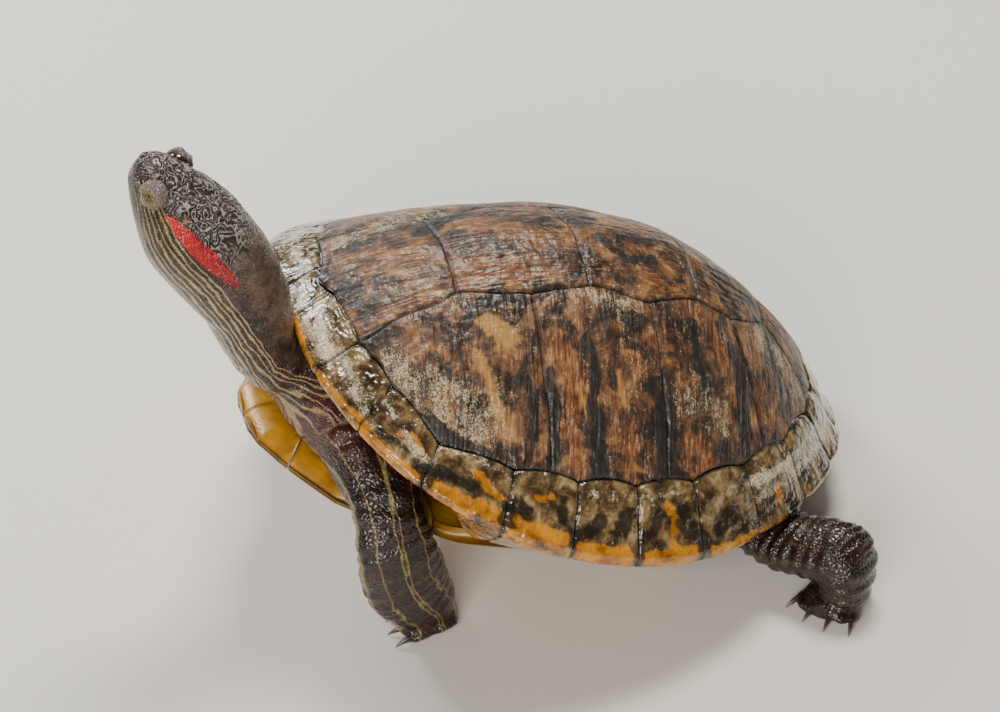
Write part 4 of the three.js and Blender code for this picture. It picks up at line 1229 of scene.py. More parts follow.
TAIL_STATIONS = [
    ((0, 160, 16.0), (1, 0, 0), 8.5, 6.2, 6.2),
    ((0, 168, 12.0), (1, 0, 0), 7.5, 5.2, 5.2),
    ((-2.5, 180, 8.6), (1, 0.3, 0), 6.6, 5.0, 5.2),
    ((-9.5, 188, 5.0), (0.6, 0.8, 0), 5.0, 4.2, 4.8),
    ((-19, 191, 3.0), (0.1, 1, 0), 3.4, 3.0, 3.0),
    ((-29, 190, 1.7), (-0.1, 1, 0), 1.4, 1.5, 1.6),
]
print("leg stations:", len(FORELEG_STATIONS), len(HINDLEG_STATIONS), len(OFF_HINDLEG_STATIONS))

# %% [markdown]
# ### Soft body inside the shell
# The front and rear openings of the shell are filled by soft body, and a slim core
# joins the two, so that the whole skin welds into one piece.

# %% Soft body and its datum
FRONT_STATIONS = [
    ((0, 17, 73), (1, 0, 0), 12, 8, 9),
    ((0, 24, 70), (1, 0, 0), 24, 12, 13),
    ((0, 32, 66), (1, 0, 0), 35, 14, 15),
    ((0, 43, 61), (1, 0, 0), 44, 14, 14),
    ((0, 54, 56), (1, 0, 0), 34, 12, 12),
    ((0, 64, 52), (1, 0, 0), 12, 8, 8),
]
CORE_STATIONS = [
    ((0, 52, 52), (1, 0, 0), 9, 8, 8),
    ((0, 95, 40), (1, 0, 0), 8, 7, 7),
    ((0, 138, 28), (1, 0, 0), 9, 8, 8),
]
REAR_STATIONS = [
    ((0, 128, 32), (1, 0, 0), 12, 8, 8),
    ((0, 142, 27), (1, 0, 0), 34, 10, 9),
    ((0, 156, 20.5), (1, 0, 0), 40, 9, 8),
    ((0, 168, 15.5), (1, 0, 0), 26, 7, 7),
    ((0, 176, 12), (1, 0, 0), 9, 5, 5),
]
DATUM = np.array([MIDLINE_X, DATUM_Y, 0.0])
mirror_side = np.array([-1.0, 1.0, 1.0])


def stand(points_mm):
    """From millimetres on the standing animal to metres in the frame."""
    return np.asarray(points_mm, float) * MM + DATUM


def mirrored_stations(stations):
    """The same limb on the other side of the midline."""
    return [(tuple(np.array(at) * mirror_side), tuple(np.array(side) * mirror_side), w, t, b)
            for at, side, w, t, b in stations]


print("datum (mm):", np.round(DATUM / MM, 1))

# %% [markdown]
# ### Lofting a limb
# A limb is a row of ovals along a smooth centre line. The same frames are kept
# for later: they tell for any point of the skin which limb it belongs to, how far
# along it lies and how far round, and the stripes are drawn with those numbers.

# %% Loft
RING_SIDES = 48


def limb_frames(stations, rings):
    """Centres, side and up directions and sizes of the ovals along a limb."""
    u = np.linspace(0, len(stations) - 1, rings)
    centre_curve = spline([at for at, *_ in stations], closed=False)
    centres = centre_curve(u)
    ahead = centre_curve(np.minimum(u + 0.01, u[-1])) - centre_curve(np.maximum(u - 0.01, 0))
    ahead /= np.linalg.norm(ahead, axis=1, keepdims=True)
    sides = np.array([side for _, side, *_ in stations], float)
    i = np.minimum(np.floor(u).astype(int), len(stations) - 2)
    side = sides[i] + (sides[i + 1] - sides[i]) * (u - i)[:, None]
    side -= ahead * np.sum(side * ahead, axis=1, keepdims=True)
    side /= np.linalg.norm(side, axis=1, keepdims=True)
    up = np.cross(side, ahead)
    sizes = [station_curve([(k, s[key]) for k, s in enumerate(stations)])(u) for key in (2, 3, 4)]
    return centres, side, up, np.stack(sizes, axis=1)


def tube_faces(points, rings, sides):
    """Faces of a closed tube of rings and its two flat ends, turned to face outward."""
    base = (np.arange(rings - 1)[:, None] * sides + np.arange(sides)[None]).ravel()
    beside = np.where(base % sides == sides - 1, base - sides + 1, base + 1)
    faces = np.stack([base, beside, beside + sides, base + sides], axis=1).tolist()
    last = (rings - 1) * sides
    faces += [list(range(sides))[::-1], list(range(last, last + sides))]
    middle = points.mean(axis=0)
    a, b, c = (points[[face[k] for face in faces]] - middle for k in (0, 1, 2))
    inward = np.sum(np.cross(a, b) * c) < 0
    return [face[::-1] for face in faces] if inward else faces


def loft(frames, square=1.0):
    """Closed form through the ovals: points in metres and faces."""
    centres, side, up, sizes = frames
    angle = np.linspace(0, 2 * np.pi, RING_SIDES, endpoint=False)
    c, s = np.cos(angle), np.sin(angle)
    x = np.sign(c) * np.abs(c) ** square * sizes[:, :1]
    y = np.sign(s) * np.abs(s) ** square * np.where(s > 0, sizes[:, 1:2], sizes[:, 2:3])
    rings = centres[:, None] + x[..., None] * side[:, None] + y[..., None] * up[:, None]
    rings = stand(rings.reshape(-1, 3))
    return rings, tube_faces(rings, len(centres), RING_SIDES)


def head_point(back, out, up):
    """Place on the head, in millimetres behind the snout, out to the left and up."""
    return (HEAD_TIP - np.multiply.outer(back, HEAD_AXIS) + np.multiply.outer(out, HEAD_LEFT)
            + np.multiply.outer(up, HEAD_UP))


head_stations = [(tuple(head_point(b, 0, 0)), tuple(HEAD_LEFT), w, t, d) for b, w, t, d in HEAD_STATIONS]
LIMBS = {
    "neck": limb_frames(head_stations[:-1] + NECK_STATIONS, 150),
    "foreleg_left": limb_frames(FORELEG_STATIONS, 60),
    "foreleg_right": limb_frames(mirrored_stations(FORELEG_STATIONS), 60),
    "hindleg_left": limb_frames(HINDLEG_STATIONS, 60),
    "hindleg_right": limb_frames(OFF_HINDLEG_STATIONS, 60),
    "tail": limb_frames(TAIL_STATIONS, 40),
}
FILLERS = {
    "front": limb_frames(FRONT_STATIONS, 40),
    "core": limb_frames(CORE_STATIONS, 20),
    "rear": limb_frames(REAR_STATIONS, 40),
}
print("limbs:", {name: len(frames[0]) for name, frames in LIMBS.items()})

# %% [markdown]
# ### Shoulders and paws
# The skin of a turtle's neck runs loose over its shoulders into the arms, so two
# slack folds join them. A paw is a flat palm with short webbed toes. A toe bends
# down to the claw at its tip, and the claw's root is kept for the claws later.

# %% Shoulders and paws
SHOULDER_STATIONS = [
    ((3, 20, 79), (0, 1, 0.3), 11.0, 11.0, 10.0),
    ((16, 25, 71), (-0.2, 1, 0.2), 10.5, 11.0, 12.0),
    ((31, 31, 63), (-0.2, 1, 0.1), 9.5, 10.0, 12.0),
    ((44, 34.5, 56), (-0.1, 1, 0), 8.5, 8.0, 9.0),
]
FORE_PAW = {"width": 8.8, "toes": 5, "spread": 0.9}
HIND_PAW = {"width": 9.6, "toes": 4, "spread": 0.75}
PAWS = {
    "foreleg_left": {"heel": (48.5, 55.5, 3.4), "toe": (45, 43, 2.4), **FORE_PAW},
    "hindleg_left": {"heel": (72, 177, 3.8), "toe": (81, 165.5, 2.4), **HIND_PAW},
    "hindleg_right": {"heel": (-60, 173, 3.8), "toe": (-64, 159, 2.4), **HIND_PAW},
}
near_paw = PAWS["foreleg_left"]
PAWS["foreleg_right"] = dict(near_paw, heel=tuple(np.array(near_paw["heel"]) * mirror_side),
                             toe=tuple(np.array(near_paw["toe"]) * mirror_side))
TOE_LENGTH = 6.8
UP = np.array([0.0, 0.0, 1.0])

# share of the way from heel to toe, share of the width, height above
PALM_SECTIONS = [(-0.2, 0.50, 1.8), (0.15, 0.86, 3.8), (0.6, 1.0, 3.0), (0.95, 1.0, 2.0), (1.15, 0.8, 1.2)]
# millimetres along the toe, half width, half thickness, height off the floor
TOE_SECTIONS = [
    (0.0, 2.3, 2.2, 2.5),
    (3.0, 2.2, 2.3, 2.7),
    (5.2, 2.0, 2.0, 2.4),
    (TOE_LENGTH, 1.35, 1.3, 1.9),
]


def paw_forms(paw):
    """Lofts of a palm, its toes and webs, and the root and heading of each claw."""
    heel, toe = np.array(paw["heel"], float), np.array(paw["toe"], float)
    ahead = (toe - heel) * (1, 1, 0)
    length = np.linalg.norm(ahead)
    ahead /= length
    across = np.cross(UP, ahead)
    width = paw["width"]
    palm = [(tuple(heel + (toe - heel) * f), tuple(across), width * w, t, 3.2) for f, w, t in PALM_SECTIONS]
    forms, claws = [limb_frames(palm, 24)], []
    for k in range(paw["toes"]):
        f = 2 * k / (paw["toes"] - 1) - 1
        turn = -f * paw["spread"] * 0.5
        heading = ahead * math.cos(turn) + np.cross(UP, ahead) * math.sin(turn)
        base = heel + ahead * length * (0.62 - 0.16 * f * f) - across * f * width * 0.74
        outward = np.cross(UP, heading)
        stations = [(tuple(base * (1, 1, 0) + heading * d + UP * z), tuple(outward), w, t, t)
                    for d, w, t, z in TOE_SECTIONS]
        forms.append(limb_frames(stations, 16))
        claws.append((base * (1, 1, 0) + heading * (TOE_LENGTH - 0.9) + UP * 2.0, heading))
    return forms, claws


claw_roots = {}
body_forms = list(LIMBS.values()) + list(FILLERS.values())
body_forms.append(limb_frames(SHOULDER_STATIONS, 30))
body_forms.append(limb_frames(mirrored_stations(SHOULDER_STATIONS), 30))
for leg, paw in PAWS.items():
    forms, claw_roots[leg] = paw_forms(paw)
    body_forms += forms
print("forms to weld:", len(body_forms), "claws:", sum(len(c) for c in claw_roots.values()))

# %% [markdown]
# ### Welding the skin
# The voxel remesh turns the overlapping forms into one even surface. Its steps
# are then relaxed away by moving each vertex toward the middle of its neighbours.
# The head gets a second, finer division, because the lids and the nostrils are
# smaller than the body's mesh.

# %% Weld and relax
VOXEL = 0.98 * MM
RELAX_ROUNDS = 6
HEAD_FINE_BACK = 30
HEAD_FLOOR = 100 * MM          # nothing but head and neck is higher than this near the snout


def welded(forms):
    """One mesh from overlapping closed forms."""
    points, faces = [], []
    for frames in forms:
        more_points, more_faces = loft(frames)
        start = sum(len(p) for p in points)
        points.append(more_points)
        faces += [[i + start for i in face] for face in more_faces]
    mesh = bpy.data.meshes.new("skin_forms")
    mesh.from_pydata(np.vstack(points).tolist(), [], faces)
    source = bpy.data.objects.new("skin_forms", mesh)
    bpy.context.scene.collection.objects.link(source)
    weld = source.modifiers.new("weld", "REMESH")
    weld.mode = "VOXEL"
    weld.voxel_size = VOXEL
    made = bpy.data.meshes.new_from_object(source.evaluated_get(bpy.context.evaluated_depsgraph_get()))
    bpy.data.objects.remove(source)
    return made


def per_vertex(mesh, what="co"):
    """Places or normals of a mesh's vertices, as an array."""
    flat = np.zeros(len(mesh.vertices) * 3)
    mesh.vertices.foreach_get(what, flat)
    return flat.reshape(-1, 3)


def set_points(mesh, points):
    """Moves a mesh's vertices, and lets it work out its normals again."""
    mesh.vertices.foreach_set("co", points.ravel())
    mesh.update()


def mesh_edges(mesh):
    """The two vertex numbers of each edge, as an array."""
    flat = np.zeros(len(mesh.edges) * 2, int)
    mesh.edges.foreach_get("vertices", flat)
    return flat.reshape(-1, 2)


def relaxed(points, edges, rounds, amount=0.5):
    """Points moved toward the middle of their neighbours; amount may differ per vertex."""
    count = np.bincount(edges.ravel(), minlength=len(points))[:, None]
    for _ in range(rounds):
        total = np.zeros_like(points)
        for k in range(3):
            total[:, k] = np.bincount(edges[:, 0], points[edges[:, 1], k], len(points))
            total[:, k] += np.bincount(edges[:, 1], points[edges[:, 0], k], len(points))
        points = points + (total / np.maximum(count, 1) - points) * amount
    return points


def finer(mesh, chosen):
    """Divides the edges between chosen vertices once."""
    work = bmesh.new()
    work.from_mesh(mesh)
    work.verts.ensure_lookup_table()
    edges = [e for e in work.edges if chosen[e.verts[0].index] and chosen[e.verts[1].index]]
    bmesh.ops.subdivide_edges(work, edges=edges, cuts=1, use_grid_fill=True, smooth=0.4)
    bmesh.ops.triangulate(work, faces=[f for f in work.faces if len(f.verts) > 4])
    work.to_mesh(mesh)
    work.free()
    return per_vertex(mesh)


def head_place(points):
    """Points in head millimetres: behind the snout, out to the left, up."""
    local = (points - stand(HEAD_TIP)) / MM
    return -local @ HEAD_AXIS, local @ HEAD_LEFT, local @ HEAD_UP


skin_mesh = welded(body_forms)
points = relaxed(per_vertex(skin_mesh), mesh_edges(skin_mesh), RELAX_ROUNDS)
set_points(skin_mesh, points)
back, out, up = head_place(points)
on_head = (back < HEAD_FINE_BACK) & (back > -3) & (points[:, 2] > HEAD_FLOOR)
points = finer(skin_mesh, on_head)
print("skin vertices:", len(points), "on the head:", int(on_head.sum()))

# %% [markdown]
# ### Numbers on the skin
# For each vertex the nearest limb frame gives how far along that limb it lies and
# how far round, from 0 at the underside to 1 at the back. These numbers are the
# same on both sides, so the stripes are too, as nearly as nature makes them.

# %% Where each vertex lies


def limb_numbers(points, frames):
    """Distance to a limb in limb widths, run along it (mm) and turn round it (0 to 1)."""
    centres, side, up, sizes = frames
    tree_points = stand(centres)
    best = np.full(len(points), 1e9)
    nearest = np.zeros(len(points), int)
    for i, centre in enumerate(tree_points):
        gap = np.sum((points - centre) ** 2, axis=1)
        closer = gap < best
        best[closer] = gap[closer]
        nearest[closer] = i
    steps = np.concatenate([[0], np.cumsum(np.linalg.norm(np.diff(centres, axis=0), axis=1))])
    away = (points - tree_points[nearest]) / MM
    ahead = np.gradient(centres, axis=0)
    ahead /= np.linalg.norm(ahead, axis=1, keepdims=True)
    along_it = np.sum(away * ahead[nearest], axis=1)
    across = np.sum(away * side[nearest], axis=1)
    height = np.sum(away * up[nearest], axis=1)
    turn = np.arccos(np.clip(-height / np.maximum(np.hypot(across, height), 1e-6), -1, 1)) / np.pi
    wide = sizes[nearest]
    tall = np.where(height > 0, wide[:, 1], wide[:, 2])
    oval = np.sqrt((across / wide[:, 0]) ** 2 + (height / tall) ** 2 + (along_it / wide[:, 0]) ** 2)
    return oval, steps[nearest] + along_it, turn


print("limb frames:", sum(len(frames[0]) for frames in LIMBS.values()))

# %% [markdown]
# ### Modelling the head
# A slider's eye is a ball three quarters of a centimetre across, set in a socket
# that stands a little proud of the cheek. Its lids are folds of skin that lie on
# the ball, so they are modelled as what they are: near the eye the skin is drawn
# onto a sphere just larger than the ball, and in the slit between the lids it dips
# behind it. The animal basks with its eyes half shut. The mouth is a groove under
# the horny upper jaw, and the nostrils are two small pits at the tip.

# %% Frames of the eyes
EYE_BACK, EYE_OUT, EYE_UP = 9.8, 9.2, 2.4
EYEBALL_RADIUS = 3.7
EYE_REACH = 6.6                # skin within this of the eye gets the finer mesh
LID_THICKNESS = 0.9
SLIT_HALF_LENGTH = 0.90        # radians, seen from the ball's centre
SLIT_MIDDLE = -0.36
UPPER_LID = 0.09
LOWER_LID = 0.09
MOUTH_BACK = 15.0
HEAD_END = 45
CHIN_FLOOR = 110 * MM


def eye_frame(side):
    """Centre of an eye in metres, and its gaze, forward and upward directions."""
    centre = stand(head_point(EYE_BACK, side * EYE_OUT, EYE_UP))
    gaze = HEAD_LEFT * side * 0.90 + HEAD_UP * 0.30 + HEAD_AXIS * 0.26
    gaze /= np.linalg.norm(gaze)
    fore = HEAD_AXIS - gaze * (HEAD_AXIS @ gaze)
    fore /= np.linalg.norm(fore)
    rise = HEAD_UP - gaze * (HEAD_UP @ gaze) - fore * (HEAD_UP @ fore)
    return centre, gaze, fore, rise / np.linalg.norm(rise)


back, out, up = head_place(points)
near_eye = np.zeros(len(points), bool)
for side in (1, -1):
    near_eye |= np.linalg.norm(points - eye_frame(side)[0], axis=1) < EYE_REACH * MM
near_eye |= (back < 3.0) & (points[:, 2] > 0.13)
points = finer(skin_mesh, near_eye)
back, out, up = head_place(points)
is_head = (back < HEAD_END) & (points[:, 2] > CHIN_FLOOR)
print("skin vertices with the eyes' finer mesh:", len(points))

# %% [markdown]
# ### Mouth and nostrils
# The mouth is a groove with the upper jaw a little proud of the lower, and the
# nostrils are round pits pushed in along the head.

# %% Mouth and nostrils
NOSTRIL_OUT, NOSTRIL_UP = 1.15, 0.9
NOSTRIL_RADIUS = 0.62
NOSTRIL_DEPTH = 0.95

mouth_up = -1.3 - 0.20 * np.clip(back, 0, 30) - 0.6 * smooth(back, 9, 15)
below_mouth = up - mouth_up
mouth_reach = is_head * (1 - smooth(back, MOUTH_BACK - 1.5, MOUTH_BACK + 0.5))
set_points(skin_mesh, points)
groove = -0.42 * np.exp(-(below_mouth / 0.38) ** 2) + 0.22 * np.exp(-((below_mouth - 0.9) / 0.7) ** 2)
groove -= 0.30 * smooth(-below_mouth, 0.0, 0.6) * (1 - smooth(-below_mouth, 2.5, 4.5))
points = points + per_vertex(skin_mesh, "normal") * (groove * mouth_reach * MM)[:, None]

for side in (1, -1):
    away = np.hypot(out - side * NOSTRIL_OUT, up - NOSTRIL_UP)
    pit = np.clip(1 - (away / NOSTRIL_RADIUS) ** 2, 0, 1) * is_head * (back < 2.6)
    points = points - np.outer(pit * NOSTRIL_DEPTH * MM, HEAD_AXIS)
print("mouth:", MOUTH_BACK, "mm long, nostrils:", 2 * NOSTRIL_RADIUS, "mm across")

# %% [markdown]
# ### Lids and sockets
# Each skin vertex near an eye is turned into a direction and a distance from the
# ball's centre. On the lids the distance becomes the ball's radius and a lid's
# thickness, in the slit it becomes less than the radius, and round both a shallow
# ditch marks the socket.

# %% Lids and sockets
lid_amount = np.zeros(len(points))
slit_amount = np.zeros(len(points))
for side in (1, -1):
    centre, gaze, fore, rise = eye_frame(side)
    away = (points - centre) / MM
    radius = np.linalg.norm(away, axis=1)
    ahead = away @ gaze
    angle = np.arccos(np.clip(ahead / np.maximum(radius, 1e-6), -1, 1))
    length = np.arctan2(away @ fore, ahead)
    height = np.arctan2(away @ rise, ahead)
    almond = np.sqrt(np.clip(1 - (length / SLIT_HALF_LENGTH) ** 2, 0, 1))
    tilt = SLIT_MIDDLE - 0.16 * length
    inside = np.minimum(tilt + UPPER_LID * almond - height, height - tilt + LOWER_LID * almond)
    inside = np.where(almond > 0, inside, -1.0) * EYEBALL_RADIUS
    slit = smooth(inside, -0.10, 0.22)
    rim = np.exp(-((inside + 0.25) / 0.32) ** 2) * 0.22
    wrinkle = 0.10 * np.sin(13 * (height - tilt)) * smooth(-inside, 0.5, 1.2)
    lid_radius = EYEBALL_RADIUS + LID_THICKNESS + rim + wrinkle
    target = lid_radius * (1 - slit) + (EYEBALL_RADIUS - 0.9) * slit
    hold = (1 - smooth(angle, 1.20, 1.65)) * (radius < 7.0)
    new_radius = radius * (1 - hold) + target * hold
    socket = -0.55 * np.exp(-((radius - 5.2) / 0.7) ** 2) * (ahead > -1.5) * (1 - hold)
    scale = (new_radius + socket * (radius < 8)) / np.maximum(radius, 1e-6)
    chosen = (radius < 8) & (ahead > -2.5)
    points[chosen] = centre + away[chosen] * scale[chosen, None] * MM
    lid_amount = np.maximum(lid_amount, (1 - smooth(angle, 1.15, 1.65)) * (radius < 6.5))
    slit_amount = np.maximum(slit_amount, np.exp(-(inside / 0.35) ** 2) * hold)
set_points(skin_mesh, points)
print("lids laid on eyes", 2 * EYEBALL_RADIUS, "mm across")

# %% [markdown]
# ### Folds and scales of the skin
# The crown is tight, glossy and finely wrinkled; the nape carries rows of small
# grains; loose skin bunches into rings at the shoulder, the elbow and the knee.
# Each is a height in real millimetres, added where it belongs.

# %% Numbers for the finished points
edges = mesh_edges(skin_mesh)
limb_data = {name: limb_numbers(points, frames) for name, frames in LIMBS.items()}
names = list(limb_data)
owner = np.argmin(np.stack([data[0] for data in limb_data.values()]), axis=0)
run = np.choose(owner, [data[1] for data in limb_data.values()])
turn = np.choose(owner, [data[2] for data in limb_data.values()])
oval = np.choose(owner, [data[0] for data in limb_data.values()])


def melted(values, rounds=10):
    """A number per vertex, softened over its neighbours."""
    return relaxed(np.repeat(np.asarray(values, float)[:, None], 3, axis=1), edges, rounds)[:, 0]


on_neck = melted(owner == 0)
on_fore = melted((owner == 1) | (owner == 2))
on_hind = melted((owner == 3) | (owner == 4))
on_tail = melted(owner == 5)
root = np.where(owner == 0, 1, 1 - smooth(run, 20, 32))
loose = melted(root * np.clip(oval - 1.08, 0, 0.4) / 0.4)
print("skin vertices by limb:", {n: int((owner == i).sum()) for i, n in enumerate(names)})

# %% [markdown]
# ### The relief
# The folds are heights along each vertex's normal. Sines of the run give the
# rings, and the creases between the crown's pads come from noise near zero.

# %% Folds
back, out, up = head_place(points)
is_head = smooth(HEAD_END - back, 0, 8) * (points[:, 2] > CHIN_FLOOR)
crown = is_head * smooth(turn, 0.62, 0.74) * smooth(back, 2.5, 6) * (1 - smooth(back, 26, 36))
crown *= 1 - lid_amount


def creases(places, size_mm, shift):
    """Narrow valleys between rounded pads, from 0 in a valley to 1 on a pad."""
    return np.clip(np.abs(grain(places, size_mm, shift)) * 3.2, 0, 1)


def rings_of_skin(spacing_mm, sway, grain_mm, shift):
    """Folds that ring a limb, from -1 to 1, pushed about by grain."""
    return np.sin(run / spacing_mm * 2 * np.pi + sway * grain(points, grain_mm, shift))


warp = points + 1.6 * MM * np.stack([grain(points, 5, s) for s in (1.0, 2.0, 3.0)], axis=1)
height = crown * (0.42 * creases(warp, 2.6, 1.5) + 0.16 * creases(warp, 1.2, 2.5) - 0.25)
low_neck = on_neck * smooth(run, 62, 84) * (1 - smooth(turn, 0.75, 0.95) * 0.5)
height += low_neck * 0.30 * rings_of_skin(4.6, 3.0, 9, 4.0)
nape = on_neck * smooth(run, 30, 40) * (1 - smooth(run, 58, 70)) * smooth(turn, 0.6, 0.8)
height += nape * 0.10 * rings_of_skin(2.1, 1.5, 6, 5.0)
height += on_fore * smooth(run, 20, 30) * 0.28 * rings_of_skin(5.2, 3.4, 8, 6.0)
height += on_hind * 0.42 * rings_of_skin(4.4, 3.0, 9, 7.0)
height += on_tail * 0.16 * rings_of_skin(2.6, 1.0, 5, 8.0)
height += (0.35 * grain(points, 7, 9.0) + 0.14 * grain(points, 2.6, 10.0)) * (1 - is_head)
height += 0.10 * grain(points, 3.0, 11.0) * is_head * (1 - lid_amount)
height += loose * 0.5 * rings_of_skin(4.0, 4.0, 8, 12.0)
points = points + per_vertex(skin_mesh, "normal") * (height * MM)[:, None]
points[:, 2] = np.maximum(points[:, 2], 0.0)
set_points(skin_mesh, points)
print("folds (mm):", round(float(height.min()), 2), "to", round(float(height.max()), 2))

# %% [markdown]
# ### The stripe behind the eye
# The red stripe has a real edge, so it is measured and not left to noise: each
# vertex keeps how many millimetres it lies inside the stripe.

# %% Stripe numbers
RED_STRIPE = [
    (15.6, 0.586, 0.3),
    (18.4, 0.602, 1.2),
    (24.4, 0.629, 2.1),
    (29.0, 0.652, 2.4),
    (34.0, 0.662, 2.2),
    (38.5, 0.674, 1.6),
    (43.0, 0.680, 0.3),
]
HALF_GIRTH_MM = 46.0
TAN_SPOT = (20.4, 0.672, 1.5)


def route_distance(route):
    """Millimetres inside a tapering stripe on the head, from (run, turn, half width) stops."""
    here = np.stack([run, turn * HALF_GIRTH_MM], axis=1)
    best = np.full(len(points), -50.0)
    for (r0, t0, w0), (r1, t1, w1) in zip(route[:-1], route[1:]):
        a, b = np.array([r0, t0 * HALF_GIRTH_MM]), np.array([r1, t1 * HALF_GIRTH_MM])
        leg = b - a
        t = np.clip(((here - a) @ leg) / (leg @ leg), 0, 1)
        inside = w0 + (w1 - w0) * t - np.linalg.norm(here - a - t[:, None] * leg, axis=1)
        best = np.maximum(best, inside)
    return np.where(on_neck > 0.5, best, -50.0)


spot = TAN_SPOT[2] - np.hypot(run - TAN_SPOT[0], (turn - TAN_SPOT[1]) * HALF_GIRTH_MM)
skin_numbers = {
    "run_mm": run,
    "turn": turn,
    "neck": on_neck,
    "fore": on_fore,
    "hind": on_hind + on_tail,
    "loose": loose,
    "red_mm": route_distance(RED_STRIPE),
    "tan_mm": np.where(on_neck > 0.5, spot, -50.0),
    "crown": is_head * smooth(turn, 0.60, 0.72) * (1 - smooth(back, 30, 44)),
    "lid": lid_amount,
    "lid_rim": slit_amount,
    "mouth_mm": np.where(mouth_reach > 0.5, np.abs(below_mouth), 9.0),
}
for key, values in skin_numbers.items():
    layer = skin_mesh.attributes.new(key, "FLOAT", "POINT")
    layer.data.foreach_set("value", values.astype(np.float32))
skin_mesh.shade_smooth()
print("numbers on the skin:", ", ".join(skin_numbers))

# %% [markdown]
# ## Skin
# Turtle skin is a thin sheet of small scales over loose dermis. Between the
# scales it lies in grooves, whose shade is painted into the colour as darker
# lines; wet, it shines like dark rubber. On a slider it is purple-brown to black
# with fine wavy pale lines that run along the neck and limbs, and one broad red
# stripe behind each eye. The lines are cut from the turn number round each limb,
# pushed about by noise so that they wander and fork, and the scales are a cell
# pattern of their real size.

# %% Wet skin
SKIN_IOR = 1.40
NECK_SCALE_MM = 0.8
LEG_SCALE_MM = 1.5
WRINKLE_MM = 6.0
WRINKLE_TURNS = 56.0
NECK_RUN_MM = 110.0

# pale lines round the neck: place from 0 under the chin to 1 at the nape, half width
NECK_LINES = [
    (0.036, 0.014),
    (0.100, 0.004),
    (0.150, 0.015),
    (0.206, 0.003),
    (0.250, 0.006),
    (0.292, 0.003),
    (0.334, 0.005),
    (0.386, 0.010),
    (0.432, 0.003),
    (0.472, 0.005),
    (0.512, 0.003),
    (0.546, 0.004),
    (0.578, 0.002),
]
# on the foreleg one wide line edges the front, one runs down the outside, the rest are thin
LEG_LINES = [
    (0.030, 0.008),
    (0.300, 0.003),
    (0.465, 0.020),
    (0.620, 0.004),
    (0.760, 0.008),
]


def line_mask(add, factor, lines, soft):
    """Mask that is 1 on each (place, half width) line, in ramps of eight lines."""
    mask = None
    for start in range(0, len(lines), 8):
        stops = []
        for place, half in lines[start:start + 8]:
            edges = (place - half - soft, place - half * 0.5, place + half * 0.5, place + half + soft)
            stops += [(edge, value) for edge, value in zip(edges, (0.0, 1.0, 1.0, 0.0))]
        more = add("ValToRGB", factor, stops=stops)
        mask = more if mask is None else add("MAXIMUM", mask, more)
    return mask


